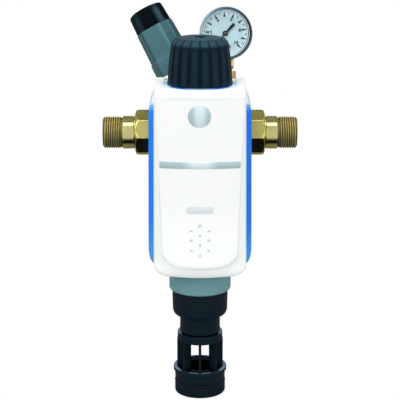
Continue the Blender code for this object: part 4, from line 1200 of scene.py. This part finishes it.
# the ring's shading colours: painted highlight and painted shade
RING = plastic("gauge_ring_grey", lin(78, 106, 122), 0.28, 0.20, tint=0.05, shading_colours=(lin(186, 216, 228), lin(20, 36, 48)))
ob = solid(lathe(soft([(0, -18.5), (24.0, -18.5), (26.4, -17.0), (26.4, -2.2), (24.4, -2.2), (23.9, -16.0), (22.8, -16.8), (0, -16.8)], 0.8), 180), "case", GAUGE)
cut(ob, cyl(7.4, -30.0, -18.0), STEM)
settle(ob, [CASE], "body", ["gauge_case"], 34.0)
prof = [(24.5, -2.0), (26.1, -2.0), (26.1, -3.2), (26.35, -3.4), (26.75, -3.2), (26.95, -2.6), (26.95, 3.2), (26.8, 3.9), (26.4, 4.4), (25.8, 4.6), (25.1, 4.55), (24.7, 4.2), (24.5, 3.7), (24.4, 3.2), (24.3, -1.9)]


def ring_tone(bm):
    """Painted light and shade: the ring's inner slope is pale on its left and dark on its right, with a painted dark
    band along the front edge.
    """
    lay = bm.verts.layers.float.new("painted_shading")
    for v in bm.verts:
        r, a = math.hypot(v.co.x, v.co.y), math.degrees(math.atan2(v.co.y, v.co.x))
        dark, light = hump(a, 12.0, 95.0), hump(a, 165.0, 85.0)
        painted_shading = 0.0
        if r < 25.9 and v.co.z > 2.0:
            painted_shading = -0.95 * dark + 0.80 * light - 0.10
        elif v.co.z > 4.0:
            painted_shading = -0.62 * dark + 0.30 * light
        elif v.co.z > 2.0:
            painted_shading = 0.15 - 0.10 * dark
        v[lay] = min(max(painted_shading, -1.0), 1.0)
    return bm


piece(ring_tone(lathe(prof, 180)), "gauge_ring", RING, "body", GAUGE, ["gauge_bezel"], 30.0)
piece(lathe(soft([(0, 1.3), (24.0, 1.3), (24.0, 2.8), (0, 2.9)], 0.3), 144), "gauge_glass", glass(), "body", GAUGE, ["gauge_window"], 30.0)
PAINT = dial_paint()
piece(lathe(soft([(0, -3.2), (23.3, -3.2), (23.3, -2.4), (22.6, -2.35), (22.4, -2.42), (0, -2.42)], 0.1), 144), "gauge_dial_plate", PAINT, "body", DIAL, ["gauge_dial"], 30.0)
# raised inner wall between dial and glass, lit from the side
piece(lathe([(23.2, -2.3), (23.75, -2.3), (24.2, 1.1), (23.9, 1.1)], 144), "gauge_spacer", plastic("spacer_pale", lin(232, 246, 250), 0.4, 0.1, tint=0.03), "body", GAUGE, (), 30.0)

INK = printed("dial_ink", lin(5, 9, 13))
INK_LIGHT = printed("dial_ink_light", lin(84, 110, 118))
bm = bmesh.new()
bm_light = bmesh.new()


def stroke(target, angle, r0, r1, w0, w1, lift=-2.36):
    """Flat printed mark from radius r0 to r1, with half-widths w0 and w1."""
    d = Vector((math.cos(R(angle)), math.sin(R(angle)), 0))
    s = Vector((-d.y, d.x, 0))
    pts = [d * r0 - s * w0, d * r1 - s * w1, d * r1 + s * w1, d * r0 + s * w0]
    rows = [[target.verts.new((p.x, p.y, z)) for p in pts] for z in (lift - 0.03, lift)]
    target.faces.new(rows[0][::-1])
    target.faces.new(rows[1])
    for i in range(4):
        j = (i + 1) % 4
        target.faces.new((rows[0][i], rows[0][j], rows[1][j], rows[1][i]))


UNIT = 27.4
for unit in range(0, 11):
    a = 90.0 - UNIT * (unit - 5)
    stroke(bm, a, 16.9, 19.2, 1.05, 0.75)
    stroke(bm, a, 19.2, 21.7, 0.75, 0.28)
    if unit < 10:
        stroke(bm_light, a - UNIT / 2, 19.5, 21.6, 0.52, 0.42)
piece(bm, "dial_marks", INK, "body", DIAL, (), 30.0)
arc = [[], [], [], []]
for k in range(109):
    a = R(90.0 + 5 * UNIT - 10 * UNIT * k / 108)
    for row, (r, z) in zip(arc, ((21.75, -2.39), (21.95, -2.39), (21.95, -2.355), (21.75, -2.355))):
        row.append((r * math.cos(a), r * math.sin(a), z))
rows = [[bm_light.verts.new(p) for p in row] for row in arc]
for a, b in zip(rows, rows[1:] + rows[:1]):
    for i in range(len(a) - 1):
        bm_light.faces.new((a[i], a[i + 1], b[i + 1], b[i]))
for i in (0, -1):
    bm_light.faces.new([r[i] for r in rows])
piece(bm_light, "dial_fine_marks", INK_LIGHT, "body", DIAL, (), 30.0)


def numeral(text, angle, radius, size):
    curve = bpy.data.curves.new("numeral", "FONT")
    curve.body = text
    curve.size = size
    curve.align_x = "CENTER"
    curve.align_y = "CENTER"
    curve.extrude = 0.015
    curve.offset = 0.17
    curve.resolution_u = 4
    ob = bpy.data.objects.new("numeral_tmp", curve)
    bpy.context.scene.collection.objects.link(ob)
    bpy.context.view_layer.update()
    mesh = bpy.data.meshes.new_from_object(ob.evaluated_get(bpy.context.evaluated_depsgraph_get()))
    bpy.data.objects.remove(ob, do_unlink=True)
    at = Matrix.Translation(Vector((radius * math.cos(R(angle)), radius * math.sin(R(angle)), -2.37)))
    mesh.transform(DIAL @ at)
    mesh.materials.clear()
    return mesh


out = bmesh.new()
for value in (0, 2, 4, 6, 8, 10):
    m = numeral(str(value), 90.0 - UNIT * (value - 5) + (1.0 if value == 10 else 0.0), 14.4 if value == 10 else 15.0, 4.7)
    out.from_mesh(m)
    bpy.data.meshes.remove(m)
piece(out, "dial_numerals", INK, "body", None, (), 30.0)

POINT = DIAL_AT @ Matrix.Rotation(R(47.6), 4, "Z")
NEEDLE = printed("needle_black", lin(15, 27, 37), 0.55)
blade = [(-7.5, -0.7), (-3.0, -0.7), (-1.2, -1.0), (1.5, -1.0), (13.0, -1.45), (13.3, -1.2), (13.3, 1.2), (13.0, 1.45), (1.5, 1.0), (-1.2, 1.0), (-3.0, 0.7), (-7.5, 0.7)]
needle = solid(prism(blade, -1.3, -0.8), "needle")
add(needle, lathe([(0, -1.5), (2.5, -1.5), (2.7, -1.3), (2.7, -0.6), (2.5, -0.4), (0, -0.4)], 48))
cut(needle, cyl(1.0, -3.0, 2.0, 32))
needle.data.transform(POINT)
settle(needle, [NEEDLE], "pointer", ["gauge_pointer"], 30.0, 0.08)
DOT = brass("dot_brass", lin(150, 132, 84), 0.3, 0.8, 1500.0, (1, 1, 1), 0.15)
piece(lathe([(0, -8.0), (0.9, -8.0), (0.9, -0.35), (0.6, -0.1), (0, 0.0)], 48), "needle_arbor", DOT, "pointer", POINT, ["pointer_arbor"], 30.0)
piece(lathe([(0, -5.0), (0.75, -5.0), (0.75, -2.3), (1.3, -2.2), (1.25, -1.8), (0.9, -1.5), (0, -1.4)], 48), "dial_screw_head", DOT, "body", DIAL @ Matrix.Translation(Vector((3.5, -13.6, 0))), ["dial_screw"], 30.0)

STEMM = brass("stem_brass", lin(224, 200, 147), 0.30, 0.88, 1300.0, (1, 1, 1), 0.2)
sq = flats(4, 14.0, 9.2)
prof = [(0, -20.0), (4.4, -20.0), (4.4, -25.0), (6.6, -25.2), (flats(4, 14.0, 7.6), -25.6), (flats(4, 14.0, 8.6), -26.0), (sq, -26.6), (sq, -33.3), (flats(4, 14.0, 8.4), -34.5), (flats(4, 14.0, 7.1), -35.5), (6.0, -35.9)]
z = -36.7
while z > -48.0:
    prof += [(6.0, z), (5.5, z - 0.4), (6.0, z - 0.8)]
    z -= 1.2
prof += [(6.0, -49.0), (0, -49.0)]
piece(lathe(prof, 96), "gauge_stem_square", STEMM, "body", STEM, ["gauge_stem"], 30.0)

# -------------------------------------------------------------------- drain

LABEL = plastic("label_teal", lin(109, 151, 157), 0.42, 0.08, tint=0.03)
# painted light on its faces looking up
DRAIN = plastic("drain_plastic", lin(16, 30, 38), 0.44, 0.05, painted_top_light=(lin(60, 78, 86), 0.5, 0.95))


def drain_rim():
    """The drain's black with painted light and shade: upward faces get a painted highlight only at the two ends of the
    flange and in thin bands, and painted shade inside the flange.
    """
    t = Tree("drain_rim")
    colour = lin(16, 30, 38)
    drift = t.noise(18.0, 2.0)
    fine = t.noise(1400.0, 2.0, 0.6)
    scuff = t.noise(240.0, 4.0, 0.65)
    base = t.mix(t.remap(drift, 0.35, 0.65), scaled(colour, 0.9), scaled(colour, 1.1))
    base = t.mix(t.remap(scuff, 0.60, 0.78, 0.0, 0.35), base, scaled(colour, 1.35))
    xyz = t.xyz()
    nz = t.xyz(t.node("ShaderNodeNewGeometry").outputs["Normal"])[2]
    out = t.math("ABSOLUTE", xyz[0])
    back = t.math("ADD", xyz[1], 0.045)
    r = t.math("SQRT", t.math("ADD", t.math("MULTIPLY", xyz[0], xyz[0]), t.math("MULTIPLY", back, back)))
    # painted highlight at the flange's ends and in thin bands, painted near-black shade on the rest of the upward faces
    # inside
    flange = t.math("MULTIPLY", t.remap(r, 0.0232, 0.0242), t.remap(xyz[2], -0.2300, -0.2360))
    ends = t.math("MULTIPLY", t.remap(out, 0.0180, 0.0225, 0.0, 1.0, smooth=True), flange)
    ends = t.math("MAXIMUM", ends, t.math("MULTIPLY", t.remap(xyz[1], -0.0300, -0.0260), flange))
    ends = t.math("MAXIMUM", ends, t.math("MULTIPLY", t.remap(out, 0.0185, 0.0205), t.remap(xyz[2], -0.2035, -0.2025)))
    thin = t.math("MULTIPLY", t.remap(out, 0.0116, 0.0108), t.remap(out, 0.0012, 0.0018))
    thin = t.math("MULTIPLY", thin, t.math("MULTIPLY", t.remap(r, 0.0246, 0.0250), t.remap(r, 0.0270, 0.0266)))
    thin = t.math("MULTIPLY", thin, t.remap(xyz[2], -0.2300, -0.2360, 0.0, 0.6))
    ends = t.math("MAXIMUM", ends, thin)
    rest = t.mix(t.remap(r, 0.0236, 0.0242), lin(1, 2, 4), lin(24, 38, 48))
    up = t.mix(ends, rest, lin(122, 150, 182))
    base = t.mix(t.remap(nz, 0.5, 0.9, 0.0, 1.0, smooth=True), base, up)
    # painted shade: the wall inside is painted black
    deep = t.math("MULTIPLY", t.remap(r, 0.0238, 0.0232), t.remap(xyz[2], -0.2390, -0.2400))
    t.colour(t.mix(deep, base, lin(1, 2, 4)))
    t.rough(t.remap(fine, 0.3, 0.7, 0.40, 0.50))
    t.bump(fine, 0.35, 0.00003)
    t.link(t.remap(deep, 0.0, 1.0, 0.05, 0.0), t.shader.inputs["Specular IOR Level"])
    return t.mat


DRAIN_RIM = drain_rim()
SLEEVE = plastic("sleeve_rubber", lin(14, 27, 33), 0.50, 0.04)

piece(lathe(soft([(28.0, -130.4), (31.2, -130.4), (31.6, -131.2), (31.6, -151.6), (31.3, -152.6), (30.3, -153.6), (28.0, -153.6)], 0.35), 192), "label_band", LABEL, "body", FILTER, ["label_ring"], 30.0)
prof = [
    (7.6, -139.0), (23.7, -139.0), (23.7, -150.4), (27.4, -150.4), (27.4, -154.0), (28.6, -154.0), (28.25, -173.5), (28.0, -176.6), (27.2, -179.2), (25.6, -180.7), (23.0, -181.3),
    (20.7, -181.6), (20.7, -199.2), (20.3, -199.9), (12.6, -199.9), (12.6, -206.5), (9.0, -206.5), (9.0, -152.0), (12.0, -148.0), (12.0, -142.0), (7.6, -142.0),
]
piece(lathe(soft(prof, 0.8), 192), "drain_cup_and_nozzle", DRAIN, "body", FILTER, ["drain_housing"], 30.0)

cage = solid(lathe([
    (13.0, -200.3), (22.4, -200.3), (22.9, -200.45), (23.2, -200.9), (23.2, -208.0), (23.8, -208.6), (23.8, -238.2), (23.2, -238.3), (23.2, -242.0), (14.6, -242.0), (14.6, -208.0), (13.0, -203.0),
], 192), "cage", FILTER)
parts = bmesh.new()
for k in range(8):
    mid, half = R(-90.0 + 22.5 + 45.0 * k), R(22.5)
    start = 1.0 / math.sin(half)
    p0 = Vector((math.cos(mid), math.sin(mid))) * start
    pts = [p0]
    for s in (-1, 1):
        d = Vector((math.cos(mid + s * half), math.sin(mid + s * half)))
        pts.append(d * 30.0 + Vector((-d.y, d.x)) * (-s))
    low = [parts.verts.new((p.x, p.y, -239.2)) for p in pts]
    top = [parts.verts.new((p.x, p.y, -208.8)) for p in pts]
    parts.faces.new(low[::-1])
    parts.faces.new(top)
    for i in range(3):
        j = (i + 1) % 3
        parts.faces.new((low[i], low[j], top[j], top[i]))
cut(cage, parts, FILTER)
settle(cage, [DRAIN_RIM], "body", ["air_gap_cage"], 30.0, 0.25)

prof = [
    (23.7, -238.6), (27.0, -238.6), (27.4, -238.8), (27.6, -239.2), (27.6, -242.3), (27.3, -242.9), (26.7, -243.2), (26.0, -243.8), (26.0, -250.2), (25.5, -251.0), (25.5, -252.4),
    (22.0, -252.6), (22.0, -262.0), (19.6, -262.0), (19.6, -252.0), (23.7, -243.2),
]
piece(lathe(soft(prof, 0.35), 192), "funnel", DRAIN_RIM, "body", FILTER, ["drain_funnel"], 30.0)
prof = [(23.1, -252.9), (25.7, -252.9), (26.15, -253.4), (26.4, -254.4), (26.15, -255.4), (25.85, -255.9), (25.9, -256.4), (26.2, -256.9), (26.2, -265.0), (25.9, -265.9), (25.2, -266.5), (23.1, -266.5)]
piece(lathe(soft(prof, 0.4), 192), "sleeve", SLEEVE, "body", FILTER, ["drain_sleeve"], 30.0)

# ------------------------------------- CAD nodes that stay, with own materials

STEEL = metal("steel", (0.60, 0.61, 0.63), 0.28, 0.8, (1, 1, 0.15), 1200.0, 0.2)
CASTB = brass("cast_brass", lin(176, 150, 92), 0.38, 0.8, 700.0, (1, 1, 1), 0.35, cast=True)
FLAT = rubber("seal_rubber")
GREY = plastic("grey_moulding", lin(92, 118, 126), 0.5, 0.25)
KEEP = {
    "connection_body": CASTB, "reducer_body": CASTB, "gauge_movement": CASTB, "bourdon_tube": CASTB,
    "adjusting_screw": brass("screw_rod", lin(190, 172, 104), 0.28, 0.8, 1600.0, (0.2, 0.2, 1.5), 0.3),
    "filter_head": plastic("head_black", lin(28, 38, 44), 0.5, 0.25),
    "screen_cage": GREY, "screen_mesh": woven("screen_cloth"), "filter_cup": clear_cup(),
    "suction_ring": BLACK, "drive_spindle": STEEL, "flush_tube": STEEL, "valve_stem": STEEL, "spring_plate": STEEL, "reducer_spring": STEEL,
    **{f"head_screw_{i}": STEEL for i in (1, 2, 3, 4)},
    **{n: FLAT for n in ("inlet_gasket", "outlet_gasket", "flange_seal", "cup_seal", "drain_seal", "sleeve_seal", "spindle_seal", "gauge_seal", "reducer_diaphragm", "valve_disc")},
}
for name, mat in KEEP.items():
    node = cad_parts[name]
    node.data.materials.clear()
    node.data.materials.append(mat)

# ------------------------------------------------------- stage, light, camera


def flat_object(name, verts, faces, mat):
    mesh = bpy.data.meshes.new(name)
    mesh.from_pydata(verts, [], faces)
    mesh.materials.append(mat)
    ob = bpy.data.objects.new(name, mesh)
    bpy.context.scene.collection.objects.link(ob)
    return ob


def glow(name, value):
    mat = bpy.data.materials.new(name)
    mat.use_nodes = True
    nt = mat.node_tree
    nt.nodes.clear()
    e = nt.nodes.new("ShaderNodeEmission")
    e.inputs["Color"].default_value = (value, value, value, 1.0)
    o = nt.nodes.new("ShaderNodeOutputMaterial")
    nt.links.new(e.outputs[0], o.inputs[0])
    return mat


def camera_only(ob):
    ob.visible_diffuse = ob.visible_glossy = ob.visible_transmission = ob.visible_shadow = ob.visible_volume_scatter = False


floor = flat_object("floor", [(-9, -9, -0.9), (9, -9, -0.9), (9, 9, -0.9), (-9, 9, -0.9)], [(0, 1, 2, 3)], glow("pale_floor", 1.0))
camera_only(floor)
bm = bmesh.new()
bmesh.ops.create_uvsphere(bm, u_segments=48, v_segments=24, radius=8.8)
mesh = bpy.data.meshes.new("backdrop")
bm.to_mesh(mesh)
bm.free()
mesh.materials.append(glow("pale_backdrop", 1.0))
dome = bpy.data.objects.new("backdrop", mesh)
bpy.context.scene.collection.objects.link(dome)
camera_only(dome)

world = bpy.data.worlds.new("studio")
bpy.context.scene.world = world
world.use_nodes = True
wt = world.node_tree
for n in list(wt.nodes):
    wt.nodes.remove(n)
co = wt.nodes.new("ShaderNodeTexCoord")
sep = wt.nodes.new("ShaderNodeSeparateXYZ")
wt.links.new(co.outputs["Generated"], sep.inputs[0])


def wmap(value, lo, hi, a, b):
    n = wt.nodes.new("ShaderNodeMapRange")
    n.interpolation_type = "SMOOTHSTEP"
    for key, v in (("From Min", lo), ("From Max", hi), ("To Min", a), ("To Max", b)):
        n.inputs[key].default_value = v
    wt.links.new(value, n.inputs["Value"])
    return n.outputs["Result"]


def wmath(op, a, b):
    n = wt.nodes.new("ShaderNodeMath")
    n.operation = op
    for i, v in enumerate((a, b)):
        if isinstance(v, (int, float)):
            n.inputs[i].default_value = v
        else:
            wt.links.new(v, n.inputs[i])
    return n.outputs["Value"]


UP, BACK = sep.outputs["Z"], sep.outputs["Y"]
# in front: dark below, a broad bright band from the horizon up, softer overhead
front = wmath("MULTIPLY", wmap(UP, -0.42, -0.04, 0.0, 0.82), wmap(UP, 0.05, 0.95, 1.0, 0.40))
# behind: dim below, a moderate glow at and above the horizon
back = wmath("MULTIPLY", wmap(UP, -0.98, -0.80, 0.20, 0.38), wmap(UP, 0.30, 0.85, 1.0, 0.45))
turn = wmap(BACK, -0.20, 0.20, 0.0, 1.0)
level = wmath("ADD", wmath("MULTIPLY", front, wmath("SUBTRACT", 1.0, turn)), wmath("MULTIPLY", back, turn))
bg = wt.nodes.new("ShaderNodeBackground")
bg.inputs["Strength"].default_value = 1.0
wt.links.new(level, bg.inputs["Color"])
out_node = wt.nodes.new("ShaderNodeOutputWorld")
wt.links.new(bg.outputs[0], out_node.inputs[0])


def soft_light(name, at, target, size, power, colour=(1, 1, 1), gloss=True):
    data = bpy.data.lights.new(name, "AREA")
    data.shape = "RECTANGLE"
    data.size, data.size_y = size
    data.energy = power
    data.color = colour
    ob = bpy.data.objects.new(name, data)
    bpy.context.scene.collection.objects.link(ob)
    ob.location = at
    ob.rotation_mode = "QUATERNION"
    ob.rotation_quaternion = (Vector(target) - Vector(at)).to_track_quat("-Z", "Y")
    ob.visible_camera = False
    ob.visible_glossy = gloss
    return ob


soft_light("key", (-1.35, -1.75, 1.25), (0, 0, -0.03), (1.3, 1.2), 20.5)
soft_light("fill", (1.5, -1.5, 0.4), (0, 0, -0.03), (1.0, 1.4), 8.4)
soft_light("front", (0.0, -1.8, -1.25), (0, 0, -0.08), (2.6, 0.6), 13.5, gloss=False)
soft_light("top", (0.0, -0.4, 2.0), (0, 0, 0), (1.8, 1.2), 30.0)
soft_light("side_left", (-2.0, 0.1, 0.5), (0, 0, 0), (1.0, 1.4), 4.5)
soft_light("side_right", (2.0, 0.1, 0.5), (0, 0, 0), (1.0, 1.4), 6.0)
soft_light("back_left", (-1.6, 1.2, 0.6), (0, 0, 0), (0.9, 1.4), 2.5)
soft_light("back_right", (1.6, 1.2, 0.6), (0, 0, 0), (0.9, 1.4), 3.0)

cam_data = bpy.data.cameras.new("camera")
cam_data.sensor_width = 36.0
cam_data.lens = 126.0
cam = bpy.data.objects.new("camera", cam_data)
bpy.context.scene.collection.objects.link(cam)
TILT, DIST = R(15.0), 1.421
target = Vector((0.0, -0.045, -0.0605))
cam.location = target + Vector((0.0, -math.cos(TILT), math.sin(TILT))) * DIST
cam.rotation_euler = (math.pi / 2 - TILT, 0.0, 0.0)
cam_data.clip_start, cam_data.clip_end = 0.05, 60.0
bpy.context.scene.camera = cam

bpy.context.scene.view_settings.view_transform = "Standard"
bpy.context.scene.view_settings.look = "None"
